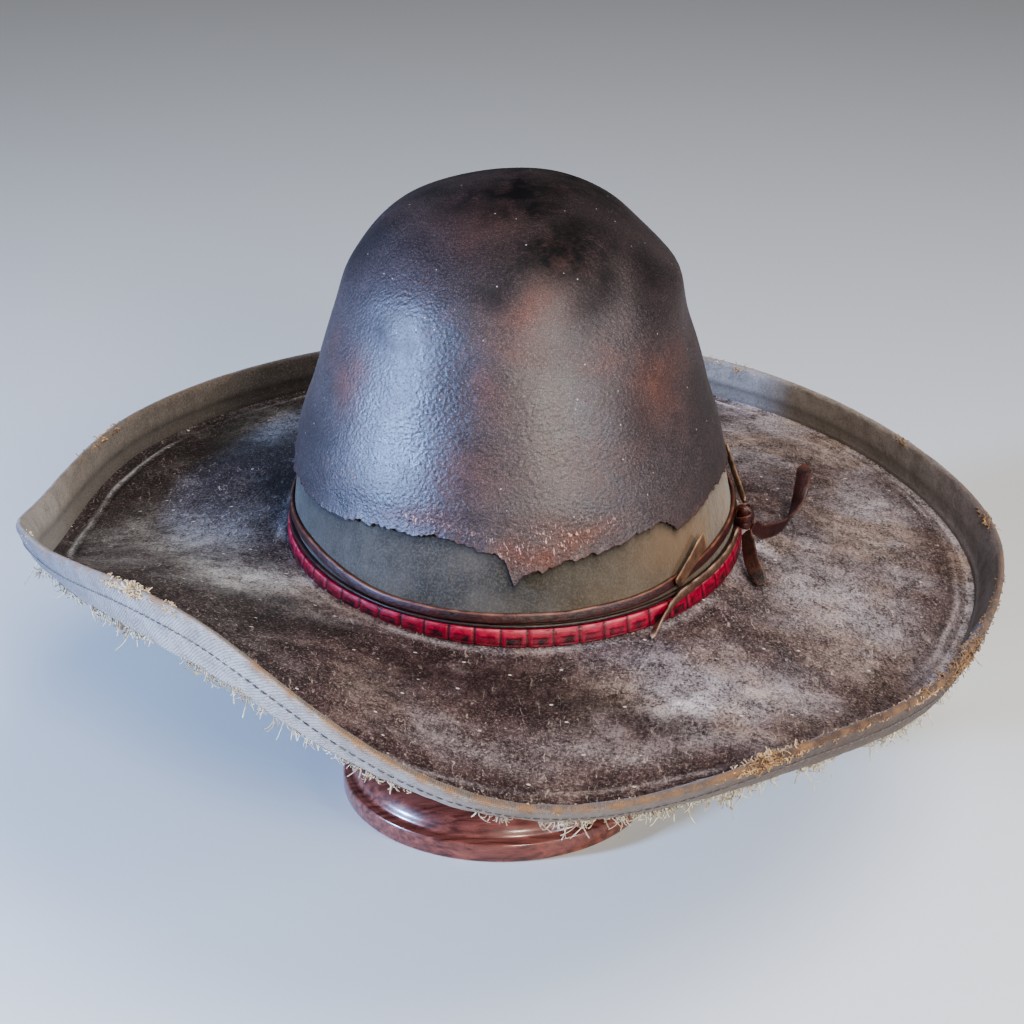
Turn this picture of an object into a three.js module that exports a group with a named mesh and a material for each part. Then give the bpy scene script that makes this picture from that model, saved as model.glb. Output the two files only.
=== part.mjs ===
import * as THREE from 'three';
import { mergeVertices } from 'three/addons/utils/BufferGeometryUtils.js';

// An old wide-brim felt hat on a turned wooden stand.
// Millimetres, +Z up. The origin is the centre of the stand's flat underside, and the hat's front is at -Y.
// Azimuths run round the hat in degrees: 0 at +X, 90 at the back, 180 at -X, 270 at the front.

// Driving sizes of the felt
const CROWN_HALF_WIDTH = 86;
const CROWN_HALF_DEPTH = 105;
const CROWN_HEIGHT = 137;
const CROWN_SHIFT = 5.8;
const BRIM_WIDTH = 94.6;
const BRIM_BEND = 5;
const LIP_HEIGHT = 17.7;
const FELT = 2;

// Driving sizes of what is sewn and tied on the felt
const COVER = 1.2;
const CLOTH = 1;
const CLOTH_BAND = 40;
const RED_BAND = 5.8;
const RED_LEATHER = 1.4;
const RED_RELIEF = 0.4;
const FLAT_LACE = 3.4;
const LACE_LEATHER = 1.4;
const THIN_LACE = 1;
const RIBBON = 1;
const KNOT = 9;
const KNOT_AZIMUTH = 348.7;
const TAIL_WIDTH = 6;
const TAIL_LEATHER = 1.2;

// Driving sizes of the stand
const STAND_HEIGHT = 252.3;
const BASE_RADIUS = 64;
const BASE_HEIGHT = 30;
const POST_RADIUS = 12;
const SOCKET_RADIUS = 8.3;
const SOCKET_FLOOR = 6;

// Clearance between pieces that touch
const GAP = 0.3;

// Steps round the felt, the cover and the stand, and scales on the red band
const FELT_STEPS = 60;
const COVER_STEPS = 72;
const STAND_STEPS = 32;
const SCALES = 60;

// The crown's half width to the left and to the right, as shares of its half width at the brim.
// The rows are equal steps of u from the brim to the top, where the height share is 1 - (1 - u)^2.
const CROWN_PROFILE = {
  left: [1, 0.965, 0.92, 0.86, 0.795, 0.735, 0.65, 0.53, 0.38, 0.195, 0],
  right: [1, 0.93, 0.863, 0.8, 0.74, 0.68, 0.58, 0.463, 0.316, 0.16, 0],
};
// How much rounder the crown's plan is at the top than at the brim
const CROWN_ROUNDING = 0.1;

// The brim at equal steps of azimuth from 0: its slope and its lip's angle in degrees above level,
// and its extra width as a share of the brim's width
const BRIM = {
  slope: [-12.4, -9.3, -7.5, -7, -6.7, -6.6, -6.3, 10.6, 13.8, -9.3, -8.9, -16.3],
  lip: [72, 96, 100, 98, 100, 94, 75, 60, 78, 38, 54, 63],
  extra: [0.054, 0.024, 0.005, 0, 0.015, 0.034, 0, 0, 0.038, -0.064, -0.067, -0.044],
};

// The cover's torn lower edge: azimuth, and height as a share of the cloth band's width
const TORN_EDGE = [
  [0, 0.775], [20, 0.75], [45, 0.8], [70, 0.75], [95, 0.825], [120, 0.775], [150, 0.825], [175, 0.76],
  [200, 0.725], [215, 0.75], [225, 0.79], [235, 0.86], [250, 0.875], [260, 0.84], [265, 0.8], [270, 0.55],
  [275, 0.59], [280, 0.66], [285, 0.725], [300, 0.8], [310, 0.84], [315, 0.725], [325, 0.79], [340, 0.825],
  [360, 0.775],
];

// How far the laces rise above the red band at equal steps of azimuth, as shares of the flat lace's width
const LACE_RISE = [1.35, 0.47, 0.32, 0.32, 0.32, 0.47, 0.9, 1.06, 0, 0.12, 0.35, 1.35];
const THIN_LACE_RISE = 0.35;

// Rows of the dome, as shares of the way from the cloth band's top up to the crown's top,
// and how many of them the stand's head block fills
const DOME_ROWS = [0.92, 0.8, 0.66, 0.52, 0.36, 0.15];
const HEAD_ROWS = 4;

// The turned base from its rim to its socket: radius and height as shares of the base's own
const BASE_PROFILE = [
  [0.985, 0], [1, 0.035], [1, 0.235], [0.975, 0.275], [0.94, 0.29], [0.915, 0.38], [0.87, 0.475],
  [0.805, 0.52], [0.78, 0.525], [0.765, 0.555], [0.72, 0.66], [0.6, 0.79], [0.42, 0.89], [0.28, 0.95],
  [0.22, 1],
];

// The free tails of the lace. Columns: distance along the band from the knot, distance out from the
// crown's wall and height above the brim, all as shares of the knot's size; the lean of the strip's
// width in degrees, from 0 upright to 90 lying outwards; and the width as a share of the tail's width.
const TAILS = {
  tail_curl: [
    [0.5, 0.95, 1, 0, 0.9], [0.9, 1.2, 0.6, 0, 0.95], [1.33, 1.42, 0.41, 5, 1], [1.84, 1.89, 0.38, 12, 1],
    [2.42, 2.31, 0.38, 22, 1], [3.09, 2.76, 0.5, 35, 1], [3.66, 3.27, 0.95, 50, 1],
    [4.16, 3.73, 1.54, 65, 1], [5.09, 4.28, 2.23, 80, 0.9]],
  tail_fold: [
    [-0.89, 0.9, 1.31, 40, 0.8], [-1.39, 1, 1.09, 45, 1], [-2.06, 1.22, 0.75, 55, 1.05],
    [-2.57, 1.56, 0.48, 80, 1], [-2.93, 1.9, 0.3, 95, 0.6]],
  tail_front: [
    [-0.79, 0.52, 1.28, 0, 0.6], [-2.57, 0.5, 1.11, 0, 0.6], [-4.38, 0.5, 1.06, 0, 0.6],
    [-6.2, 0.51, 1, 0, 0.6], [-7.62, 0.53, 0.83, 0, 0.6], [-8.53, 0.6, 0.5, 20, 0.55],
    [-9.23, 0.8, 0.3, 60, 0.5], [-9.94, 1.22, 0.18, 90, 0.3]],
  tail_cut: [
    [-7.6, 0.5, 1.35, 0, 0.5], [-6.9, 0.53, 1.75, 0, 0.7], [-6.1, 0.58, 2.2, 0, 0.9],
    [-5.3, 0.64, 2.6, 0, 1]],
  tail_upright: [
    [0.45, 0.84, 2.05, 0, 0.5], [0.9, 0.72, 2.15, 0, 0.7], [1.45, 0.6, 2.35, 0, 0.75],
    [2.1, 0.5, 2.62, 0, 0.75], [2.8, 0.44, 2.98, 0, 0.65], [3.35, 0.42, 3.42, 0, 0.45]],
};
const TAIL_STEPS_PER_ROW = 2;
// The knot's size outwards as a share of its size along and up
const KNOT_FLATNESS = 0.8;

// Where the pieces meet
const CROWN_TOP = STAND_HEIGHT + GAP + FELT;
const BRIM_PLANE = CROWN_TOP - CROWN_HEIGHT;
const OVER_CLOTH = GAP + CLOTH + GAP;
const LACE_OUTSIDE = OVER_CLOTH + LACE_LEATHER;
const COVER_LAP_TOP = CLOTH_BAND + COVER + GAP;
const THIN_LACE_BOTTOM = RED_BAND + GAP;
const FLAT_LACE_BOTTOM = THIN_LACE_BOTTOM + THIN_LACE + GAP;

const radians = THREE.MathUtils.degToRad;

function catmullRom(before, from, to, after, share) {
  const bend = 2 * before - 5 * from + 4 * to - after;
  const twist = 3 * from - before - 3 * to + after;
  return 0.5 * (2 * from + (to - before) * share + bend * share ** 2 + twist * share ** 3);
}

// A smooth value from a column of equal steps that closes on itself, at an azimuth
function around(column, azimuth) {
  const count = column.length;
  const place = (((azimuth % 360) + 360) % 360) / 360 * count;
  const step = Math.floor(place);
  const at = (k) => column[(step + k + count) % count];
  return catmullRom(at(-1), at(0), at(1), at(2), place - step);
}

// A smooth value from a column of equal steps with two ends, at a share of its length
function along(column, share) {
  const last = column.length - 1;
  const place = THREE.MathUtils.clamp(share, 0, 1) * last;
  const step = Math.min(Math.floor(place), last - 1);
  const at = (k) => {
    if (k < 0) return 2 * column[0] - column[1];
    if (k > last) return 2 * column[last] - column[last - 1];
    return column[k];
  };
  return catmullRom(at(step - 1), at(step), at(step + 1), at(step + 2), place - step);
}

// A straight-line value from rows of azimuth and height
function tornHeight(azimuth) {
  const turned = azimuth % 360;
  const next = TORN_EDGE.findIndex((row) => row[0] > turned);
  const [fromAzimuth, from] = TORN_EDGE[next - 1];
  const [toAzimuth, to] = TORN_EDGE[next];
  return CLOTH_BAND * THREE.MathUtils.mapLinear(turned, fromAzimuth, toAzimuth, from, to);
}

// The felt crown's outer surface at an azimuth and a row u
function crownSurface(azimuth, u) {
  const left = along(CROWN_PROFILE.left, u);
  const right = along(CROWN_PROFILE.right, u);
  const middle = (left + right) / 2;
  const rise = 1 - (1 - u) ** 2;
  const cosine = Math.cos(radians(azimuth));
  const sine = Math.sin(radians(azimuth));
  const width = CROWN_HALF_WIDTH * (middle + (right - left) / 2 * cosine);
  const depth = middle * (CROWN_HALF_DEPTH - CROWN_ROUNDING * CROWN_HALF_WIDTH * rise);
  return new THREE.Vector3(CROWN_SHIFT + width * cosine, depth * sine, BRIM_PLANE + CROWN_HEIGHT * rise);
}

function crownNormal(azimuth, u) {
  const turn = 0.2;
  const climb = 0.001;
  const sideways = crownSurface(azimuth + turn, u).sub(crownSurface(azimuth - turn, u));
  const upwards = crownSurface(azimuth, u + climb).sub(crownSurface(azimuth, Math.max(u - climb, 0)));
  return sideways.cross(upwards).normalize();
}

// A point at a distance outside the felt crown
function crownPoint(azimuth, u, out) {
  return crownSurface(azimuth, u).addScaledVector(crownNormal(azimuth, u), out);
}

function rowAtHeight(height) {
  return 1 - Math.sqrt(1 - height / CROWN_HEIGHT);
}

// A point at a height above the brim's plane and a level distance outside the crown's wall
function wallPoint(azimuth, height, out) {
  const u = rowAtHeight(Math.max(height, 0));
  const outwards = crownNormal(azimuth, u).setZ(0).normalize();
  return crownSurface(azimuth, u).addScaledVector(outwards, out).setZ(BRIM_PLANE + height);
}

function brimRise(azimuth, out) {
  return out * Math.tan(radians(around(BRIM.slope, azimuth)));
}

// The brim's upper surface from the crown's foot to the lip's top, as distance out and height,
// with the direction in which the felt's lower face lies
function brimPath(azimuth) {
  const slope = radians(around(BRIM.slope, azimuth));
  const lip = radians(around(BRIM.lip, azimuth));
  const width = BRIM_WIDTH * (1 + around(BRIM.extra, azimuth));
  const flat = new THREE.Vector2(Math.cos(slope), Math.sin(slope));
  const turned = new THREE.Vector2(Math.cos(lip), Math.sin(lip));
  const crease = flat.clone().multiplyScalar(width);
  const before = crease.clone().addScaledVector(flat, -BRIM_BEND);
  const after = crease.clone().addScaledVector(turned, BRIM_BEND);
  const middle = before.clone().add(after).multiplyScalar(0.25).addScaledVector(crease, 0.5);
  const top = crease.clone().addScaledVector(turned, LIP_HEIGHT);
  const foot = new THREE.Vector2(0, 0);
  const points = [foot, flat.clone().multiplyScalar(width / 2), before, middle, after, top];
  return points.map((point, index) => ({ point, below: mitre(points, index) }));
}

// The direction across a path at one of its points, long enough to keep an offset path parallel
function mitre(points, index) {
  const into = points[index].clone().sub(points[Math.max(index - 1, 0)]);
  const onward = points[Math.min(index + 1, points.length - 1)].clone().sub(points[index]);
  const first = (into.length() > 0 ? into : onward).normalize();
  const second = (onward.length() > 0 ? onward : first).clone().normalize();
  const across = new THREE.Vector2(first.y + second.y, -first.x - second.x).normalize();
  return across.divideScalar(across.dot(new THREE.Vector2(first.y, -first.x)));
}

// A point of the brim's section, given as distance out and height, at an azimuth
function brimPoint(azimuth, section) {
  const outwards = crownNormal(azimuth, 0).setZ(0).normalize();
  return crownSurface(azimuth, 0).addScaledVector(outwards, section.x).setZ(BRIM_PLANE + section.y);
}

// A closed mesh from vertices and triangles, turned so that its faces point outwards
function closedMesh(points, triangles) {
  const corner = triangles.map((triangle) => triangle.map((index) => points[index]));
  const volume = corner.reduce((sum, [a, b, c]) => sum + a.dot(b.clone().cross(c)), 0);
  const faces = volume > 0 ? triangles : triangles.map(([a, b, c]) => [a, c, b]);
  const geometry = new THREE.BufferGeometry().setFromPoints(points);
  geometry.setIndex(faces.flat());
  geometry.computeVertexNormals();
  return geometry;
}

// The two triangles of a quad, split from a to c or from b to d
function quad(a, b, c, d, splitAtB = false) {
  return splitAtB ? [[a, b, d], [b, c, d]] : [[a, b, c], [a, c, d]];
}

// The sections round a piece, joined into points and triangles. Each section is a list of faces, and each
// face is a path that runs away from the crown's top. The outline follows the faces forwards and
// backwards in turn, and every quad is split the same way along its path, so that pieces that lie on
// each other are faceted alike.
function weave(section, steps, closed) {
  const sections = Array.from({ length: steps }, (_, step) => section(360 * step / steps));
  const outline = (faces) => faces.flatMap((face, turn) => (turn % 2 === 1 ? [...face].reverse() : face));
  const backwards = sections[0].flatMap((face, turn) => face.map(
    (_, row) => turn % 2 === 1 && row < face.length - 1));
  const size = backwards.length;
  const index = (step, row) => (step % steps) * size + row % size;
  const triangles = [];
  for (let step = 0; step < steps; step += 1) {
    for (let row = 0; row < (closed ? size : size - 1); row += 1) {
      triangles.push(...quad(
        index(step, row), index(step, row + 1), index(step + 1, row + 1), index(step + 1, row),
        backwards[row]));
    }
  }
  return { points: sections.flatMap(outline), triangles, index, size };
}

// A ring, whose outline closes on itself
function ring(section, steps) {
  const { points, triangles } = weave(section, steps, true);
  return closedMesh(points, triangles);
}

// A shell, whose outline runs from one point on its axis to another
function shell(firstPole, section, lastPole, steps) {
  const { points, triangles, index, size } = weave(section, steps, false);
  const first = points.push(firstPole) - 1;
  const last = points.push(lastPole) - 1;
  for (let step = 0; step < steps; step += 1) {
    triangles.push([first, index(step, 0), index(step + 1, 0)]);
    triangles.push([last, index(step + 1, size - 1), index(step, size - 1)]);
  }
  return closedMesh(points, triangles);
}

// A strip with square ends whose sections are given in order, each as a loop of points
function strip(sections) {
  const size = sections[0].length;
  const last = (sections.length - 1) * size;
  const triangles = [];
  for (let step = 0; step < sections.length - 1; step += 1) {
    for (let corner = 0; corner < size; corner += 1) {
      const next = (corner + 1) % size;
      const from = step * size;
      triangles.push(...quad(from + corner, from + next, from + size + next, from + size + corner));
    }
  }
  triangles.push(...quad(0, 3, 2, 1), ...quad(last, last + 1, last + 2, last + 3));
  return closedMesh(sections.flat(), triangles);
}

const domeRows = DOME_ROWS.map((share) => THREE.MathUtils.lerp(rowAtHeight(COVER_LAP_TOP), 1, share));

function crownTop(out) {
  return new THREE.Vector3(CROWN_SHIFT, 0, CROWN_TOP + out);
}

// Crown and brim in one wall of felt, open below
function feltBody() {
  const wallRows = [...domeRows, rowAtHeight(COVER_LAP_TOP), rowAtHeight(CLOTH_BAND / 2)];
  const section = (azimuth) => {
    const path = brimPath(azimuth);
    const slope = radians(around(BRIM.slope, azimuth));
    const innerFoot = new THREE.Vector2(-FELT, -FELT * (Math.tan(slope) + 1 / Math.cos(slope)));
    const under = path.slice(1).map(({ point, below }) => point.clone().addScaledVector(below, FELT));
    return [
      [
        ...wallRows.map((u) => crownPoint(azimuth, u, 0)),
        ...path.map(({ point }) => brimPoint(azimuth, point)),
      ],
      [
        ...wallRows.map((u) => crownPoint(azimuth, u, -FELT)),
        ...[innerFoot, ...under].map((point) => brimPoint(azimuth, point)),
      ],
    ];
  };
  return shell(crownTop(0), section, crownTop(-FELT), FELT_STEPS);
}

// The waxed cover, which hugs the felt above and laps over the cloth band down to its torn edge
function crownCover() {
  const section = (azimuth) => {
    const layer = (out, overCloth) => [
      ...domeRows.map((u) => crownPoint(azimuth, u, out)),
      wallPoint(azimuth, COVER_LAP_TOP, overCloth),
      wallPoint(azimuth, tornHeight(azimuth), overCloth),
    ];
    return [layer(GAP + COVER, OVER_CLOTH + COVER), layer(GAP, OVER_CLOTH)];
  };
  return shell(crownTop(GAP + COVER), section, crownTop(GAP), COVER_STEPS);
}

// A band round the crown's wall between two heights, its foot following the brim where it rests there
function wallBand(bottom, middles, top, inside, outside, steps) {
  return ring((azimuth) => {
    const face = (out) => [
      wallPoint(azimuth, top(azimuth), out),
      ...middles.map((height) => wallPoint(azimuth, height, out)),
      wallPoint(azimuth, bottom(azimuth, out), out),
    ];
    return [face(outside(azimuth)), face(inside)];
  }, steps);
}

function clothBand() {
  const bottom = (azimuth, out) => brimRise(azimuth, out) + GAP;
  return wallBand(bottom, [CLOTH_BAND / 2], () => CLOTH_BAND, GAP, () => GAP + CLOTH, FELT_STEPS);
}

// The red band, its outer face pressed in at the seam between two scales
function redBand() {
  const bottom = (azimuth, out) => brimRise(azimuth, out) + GAP;
  const outside = (azimuth) => {
    const seam = Math.round(azimuth / 180 * SCALES) % 2 === 0;
    return OVER_CLOTH + RED_LEATHER + (seam ? 0 : RED_RELIEF);
  };
  return wallBand(bottom, [], () => RED_BAND, OVER_CLOTH, outside, 2 * SCALES);
}

function laceRise(azimuth) {
  return FLAT_LACE * Math.max(around(LACE_RISE, azimuth), 0);
}

function thinLace() {
  const bottom = (azimuth) => THIN_LACE_BOTTOM + THIN_LACE_RISE * laceRise(azimuth);
  const top = (azimuth) => bottom(azimuth) + THIN_LACE;
  return wallBand(bottom, [], top, OVER_CLOTH, () => LACE_OUTSIDE, FELT_STEPS);
}

function flatLace() {
  const bottom = (azimuth) => FLAT_LACE_BOTTOM + laceRise(azimuth);
  const top = (azimuth) => bottom(azimuth) + FLAT_LACE;
  return wallBand(bottom, [], top, OVER_CLOTH, () => LACE_OUTSIDE, FELT_STEPS);
}

// The ribbon folded over the lip, down to the end of the bend on both sides
function brimBinding() {
  const section = (azimuth) => {
    const path = brimPath(azimuth).slice(-2);
    const end = path[path.length - 1];
    const onward = end.below.clone().rotateAround(new THREE.Vector2(), Math.PI / 2);
    const face = (depth, beyond) => path.map(({ point, below }) => {
      const past = point === end.point ? beyond : 0;
      return brimPoint(azimuth, point.clone().addScaledVector(below, depth).addScaledVector(onward, past));
    });
    return [
      face(-GAP - RIBBON, GAP + RIBBON), face(FELT + GAP + RIBBON, GAP + RIBBON),
      face(FELT + GAP, GAP), face(-GAP, GAP),
    ];
  };
  return ring(section, FELT_STEPS);
}

// A point beside the knot: distance along the band, out from the wall and above the brim
function besideKnot(distance, out, height) {
  const arc = crownSurface(KNOT_AZIMUTH + 0.5, 0).distanceTo(crownSurface(KNOT_AZIMUTH - 0.5, 0));
  const azimuth = KNOT_AZIMUTH + distance / arc;
  const point = wallPoint(azimuth, height, out);
  point.z += brimRise(azimuth, out);
  return { point, outwards: crownNormal(azimuth, 0).setZ(0).normalize() };
}

function laceKnot() {
  const outwardsRadius = KNOT * KNOT_FLATNESS / 2;
  const height = FLAT_LACE_BOTTOM + laceRise(KNOT_AZIMUTH) + FLAT_LACE / 2;
  const { point, outwards } = besideKnot(0, LACE_OUTSIDE + GAP + outwardsRadius, height);
  const geometry = new THREE.SphereGeometry(KNOT / 2, 12, 8);
  geometry.scale(KNOT_FLATNESS, 1, 1);
  geometry.rotateZ(Math.atan2(outwards.y, outwards.x));
  geometry.translate(point.x, point.y, point.z);
  geometry.deleteAttribute('normal');
  geometry.deleteAttribute('uv');
  return mergeVertices(geometry);
}

// A free tail of the lace, its section turned to follow its route
function laceTail(rows) {
  const columns = [0, 1, 2, 3, 4].map((column) => rows.map((row) => row[column]));
  const steps = (rows.length - 1) * TAIL_STEPS_PER_ROW;
  const stations = Array.from({ length: steps + 1 }, (_, step) => {
    const [distance, out, height, lean, width] = columns.map((column) => along(column, step / steps));
    return { ...besideKnot(distance * KNOT, out * KNOT, height * KNOT), lean: radians(lean), width };
  });
  return strip(stations.map(({ point, outwards, lean, width }, step) => {
    const before = stations[Math.max(step - 1, 0)].point;
    const after = stations[Math.min(step + 1, steps)].point;
    const direction = after.clone().sub(before).normalize();
    const across = new THREE.Vector3(0, 0, Math.cos(lean)).addScaledVector(outwards, Math.sin(lean));
    across.addScaledVector(direction, -across.dot(direction)).normalize();
    const through = direction.clone().cross(across);
    const corner = (side, face) => point.clone()
      .addScaledVector(across, side * width * TAIL_WIDTH / 2)
      .addScaledVector(through, face * TAIL_LEATHER / 2);
    return [corner(-1, -1), corner(1, -1), corner(1, 1), corner(-1, 1)];
  }));
}

// The turned base, with a blind socket for the post
function standBase() {
  const turned = BASE_PROFILE.map(([radius, height]) => [radius * BASE_RADIUS, height * BASE_HEIGHT]);
  const profile = [
    [0, 0], ...turned, [SOCKET_RADIUS, BASE_HEIGHT], [SOCKET_RADIUS, SOCKET_FLOOR], [0, SOCKET_FLOOR],
  ].map(([radius, height]) => new THREE.Vector2(radius, height));
  const geometry = new THREE.LatheGeometry(profile, STAND_STEPS);
  geometry.rotateX(Math.PI / 2);
  geometry.deleteAttribute('normal');
  geometry.deleteAttribute('uv');
  return mergeVertices(geometry);
}

// The hidden post: the head block that the crown sits on, the post, and a tenon in the base
function standPost() {
  const inside = -FELT - GAP;
  const headRows = domeRows.slice(0, HEAD_ROWS);
  const headBottom = crownPoint(0, headRows[HEAD_ROWS - 1], inside).z;
  const tenonRadius = SOCKET_RADIUS - GAP;
  const circle = (azimuth, radius, height) => new THREE.Vector3(
    radius * Math.cos(radians(azimuth)), radius * Math.sin(radians(azimuth)), height);
  const section = (azimuth) => [[
    ...headRows.map((u) => crownPoint(azimuth, u, inside)),
    circle(azimuth, POST_RADIUS, headBottom),
    circle(azimuth, POST_RADIUS, BASE_HEIGHT + GAP),
    circle(azimuth, tenonRadius, BASE_HEIGHT + GAP),
    circle(azimuth, tenonRadius, SOCKET_FLOOR + GAP),
  ]];
  const tenonEnd = new THREE.Vector3(0, 0, SOCKET_FLOOR + GAP);
  return shell(crownTop(inside), section, tenonEnd, FELT_STEPS);
}

function material(color, roughness) {
  return new THREE.MeshStandardMaterial({ color, roughness, metalness: 0 });
}

const felt = material(0x3f322b, 0.95);
const waxedLeather = material(0x35272a, 0.45);
const cloth = material(0x56503f, 0.9);
const redLeather = material(0x8c1226, 0.4);
const brownLeather = material(0x52281a, 0.45);
const darkLeather = material(0x241a1c, 0.4);
const ribbon = material(0x6e6154, 0.9);
const wood = material(0x5b2417, 0.3);

const hatOnStand = new THREE.Group();

function add(name, geometry, finish) {
  const mesh = new THREE.Mesh(geometry, finish);
  mesh.name = name;
  hatOnStand.add(mesh);
}

add('felt_body', feltBody(), felt);
add('crown_cover', crownCover(), waxedLeather);
add('cloth_band', clothBand(), cloth);
add('red_band', redBand(), redLeather);
add('thin_lace', thinLace(), darkLeather);
add('flat_lace', flatLace(), brownLeather);
add('lace_knot', laceKnot(), brownLeather);
for (const [name, rows] of Object.entries(TAILS)) {
  add(name, laceTail(rows), brownLeather);
}
add('brim_binding', brimBinding(), ribbon);
add('stand_base', standBase(), wood);
add('stand_post', standPost(), wood);

export default hatOnStand;
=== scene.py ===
import math

import bpy
import numpy as np
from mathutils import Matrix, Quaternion, Vector


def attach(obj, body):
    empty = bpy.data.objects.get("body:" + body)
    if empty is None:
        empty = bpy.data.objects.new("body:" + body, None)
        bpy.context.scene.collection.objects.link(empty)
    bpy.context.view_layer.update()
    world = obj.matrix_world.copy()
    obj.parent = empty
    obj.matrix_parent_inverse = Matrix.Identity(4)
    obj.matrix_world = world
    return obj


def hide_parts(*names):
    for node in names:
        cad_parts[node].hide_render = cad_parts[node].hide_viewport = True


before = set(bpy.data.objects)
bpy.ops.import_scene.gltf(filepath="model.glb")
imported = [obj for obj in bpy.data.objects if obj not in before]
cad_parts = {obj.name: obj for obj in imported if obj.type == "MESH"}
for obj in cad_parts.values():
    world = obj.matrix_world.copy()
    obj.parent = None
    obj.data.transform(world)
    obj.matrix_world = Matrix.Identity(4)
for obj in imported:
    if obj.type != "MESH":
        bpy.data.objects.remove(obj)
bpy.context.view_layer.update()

# The looks of an old wide-brim felt hat on a turned wooden stand.
# Shapes are worked out in millimetres and made in metres. Azimuths run round the hat in degrees:
# 0 at +X, 90 at the back, 180 at -X and 270 at the front.

MM = 0.001

# Driving sizes of the hat and the stand, the same as in the solids
CROWN_HALF_WIDTH = 86
CROWN_HALF_DEPTH = 105
CROWN_HEIGHT = 137
CROWN_SHIFT = 5.8
CROWN_ROUNDING = 0.1
BRIM_WIDTH = 94.6
BRIM_BEND = 5
LIP_HEIGHT = 17.7
FELT = 2
COVER = 1.2
CLOTH = 1
CLOTH_BAND = 40
RED_BAND = 5.8
RED_LEATHER = 1.4
FLAT_LACE = 3.4
LACE_LEATHER = 1.4
THIN_LACE = 1
RIBBON = 1
KNOT = 9
KNOT_AZIMUTH = 348.7
KNOT_FLATNESS = 0.8
TAIL_WIDTH = 6
TAIL_LEATHER = 1.2
STAND_HEIGHT = 252.3
BASE_RADIUS = 64
BASE_HEIGHT = 30
POST_RADIUS = 12
SOCKET_RADIUS = 8.3
SOCKET_FLOOR = 6
GAP = 0.3
SCALES = 60

# Half widths of the crown as shares of its half width at the brim, at equal steps of the row
CROWN_LEFT = [1, 0.965, 0.92, 0.86, 0.795, 0.735, 0.65, 0.53, 0.38, 0.195, 0]
CROWN_RIGHT = [1, 0.93, 0.863, 0.8, 0.74, 0.68, 0.58, 0.463, 0.316, 0.16, 0]

# The brim every 30 degrees from azimuth 0: slope, the lip's angle and extra width
BRIM_SLOPE = [-12.4, -9.3, -7.5, -7, -6.7, -6.6, -6.3, 10.6, 13.8, -9.3, -8.9, -16.3]
BRIM_LIP = [72, 96, 100, 98, 100, 94, 75, 60, 78, 38, 54, 63]
BRIM_EXTRA = [0.054, 0.024, 0.005, 0, 0.015, 0.034, 0, 0, 0.038, -0.064, -0.067, -0.044]
# How far the flat lace rises every 30 degrees, as a share of its width, and the thin lace's share of that
LACE_RISE = [1.35, 0.47, 0.32, 0.32, 0.32, 0.47, 0.9, 1.06, 0, 0.12, 0.35, 1.35]
THIN_LACE_RISE = 0.35

# The cover's torn lower edge: azimuth, and height as a share of the cloth band's width
TORN_EDGE = [
    (0, 0.775), (20, 0.75), (45, 0.8), (70, 0.75), (95, 0.825), (120, 0.775), (150, 0.825),
    (175, 0.76), (200, 0.725), (215, 0.75), (225, 0.79), (235, 0.86), (250, 0.875), (260, 0.84),
    (265, 0.8), (270, 0.55), (275, 0.59), (280, 0.66), (285, 0.725), (300, 0.8), (310, 0.84),
    (315, 0.725), (325, 0.79), (340, 0.825), (360, 0.775),
]

# The turned base from its rim upwards: radius and height as shares of the base's own
BASE_PROFILE = [
    (0.985, 0), (1, 0.035), (1, 0.235), (0.975, 0.275), (0.94, 0.29), (0.915, 0.38),
    (0.87, 0.475), (0.805, 0.52), (0.78, 0.525), (0.765, 0.555), (0.72, 0.66), (0.6, 0.79),
    (0.42, 0.89), (0.28, 0.95), (0.22, 1),
]

# The lace's free tails: distance along the band from the knot, distance out from the wall and height,
# as shares of the knot's size, then the lean in degrees and the width as a share of the tail's width
TAILS = {
    "tail_curl": [
        (0.5, 0.95, 1, 0, 0.9), (0.9, 1.2, 0.6, 0, 0.95), (1.33, 1.42, 0.41, 5, 1),
        (1.84, 1.89, 0.38, 12, 1), (2.42, 2.31, 0.38, 22, 1), (3.09, 2.76, 0.5, 35, 1),
        (3.66, 3.27, 0.95, 50, 1), (4.16, 3.73, 1.54, 65, 1), (5.09, 4.28, 2.23, 80, 0.9)],
    "tail_fold": [
        (-0.89, 0.9, 1.31, 40, 0.8), (-1.39, 1, 1.09, 45, 1), (-2.06, 1.22, 0.75, 55, 1.05),
        (-2.57, 1.56, 0.48, 80, 1), (-2.93, 1.9, 0.3, 95, 0.6)],
    "tail_front": [
        (-0.79, 0.52, 1.28, 0, 0.6), (-2.57, 0.5, 1.11, 0, 0.6), (-4.38, 0.5, 1.06, 0, 0.6),
        (-6.2, 0.51, 1, 0, 0.6), (-7.62, 0.53, 0.83, 0, 0.6), (-8.53, 0.6, 0.5, 20, 0.55),
        (-9.23, 0.8, 0.3, 60, 0.5), (-9.94, 1.22, 0.18, 90, 0.3)],
    "tail_cut": [
        (-7.6, 0.5, 1.35, 0, 0.75), (-6.9, 0.53, 1.75, 0, 1), (-6.1, 0.58, 2.2, 0, 1.25),
        (-5.3, 0.64, 2.6, 0, 1.45)],
    "tail_upright": [
        (0.45, 0.84, 2.05, 0, 0.5), (0.9, 0.72, 2.15, 0, 0.7), (1.45, 0.6, 2.35, 0, 0.75),
        (2.1, 0.5, 2.62, 0, 0.75), (2.8, 0.44, 2.98, 0, 0.65), (3.35, 0.42, 3.42, 0, 0.45)],
}

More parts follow.
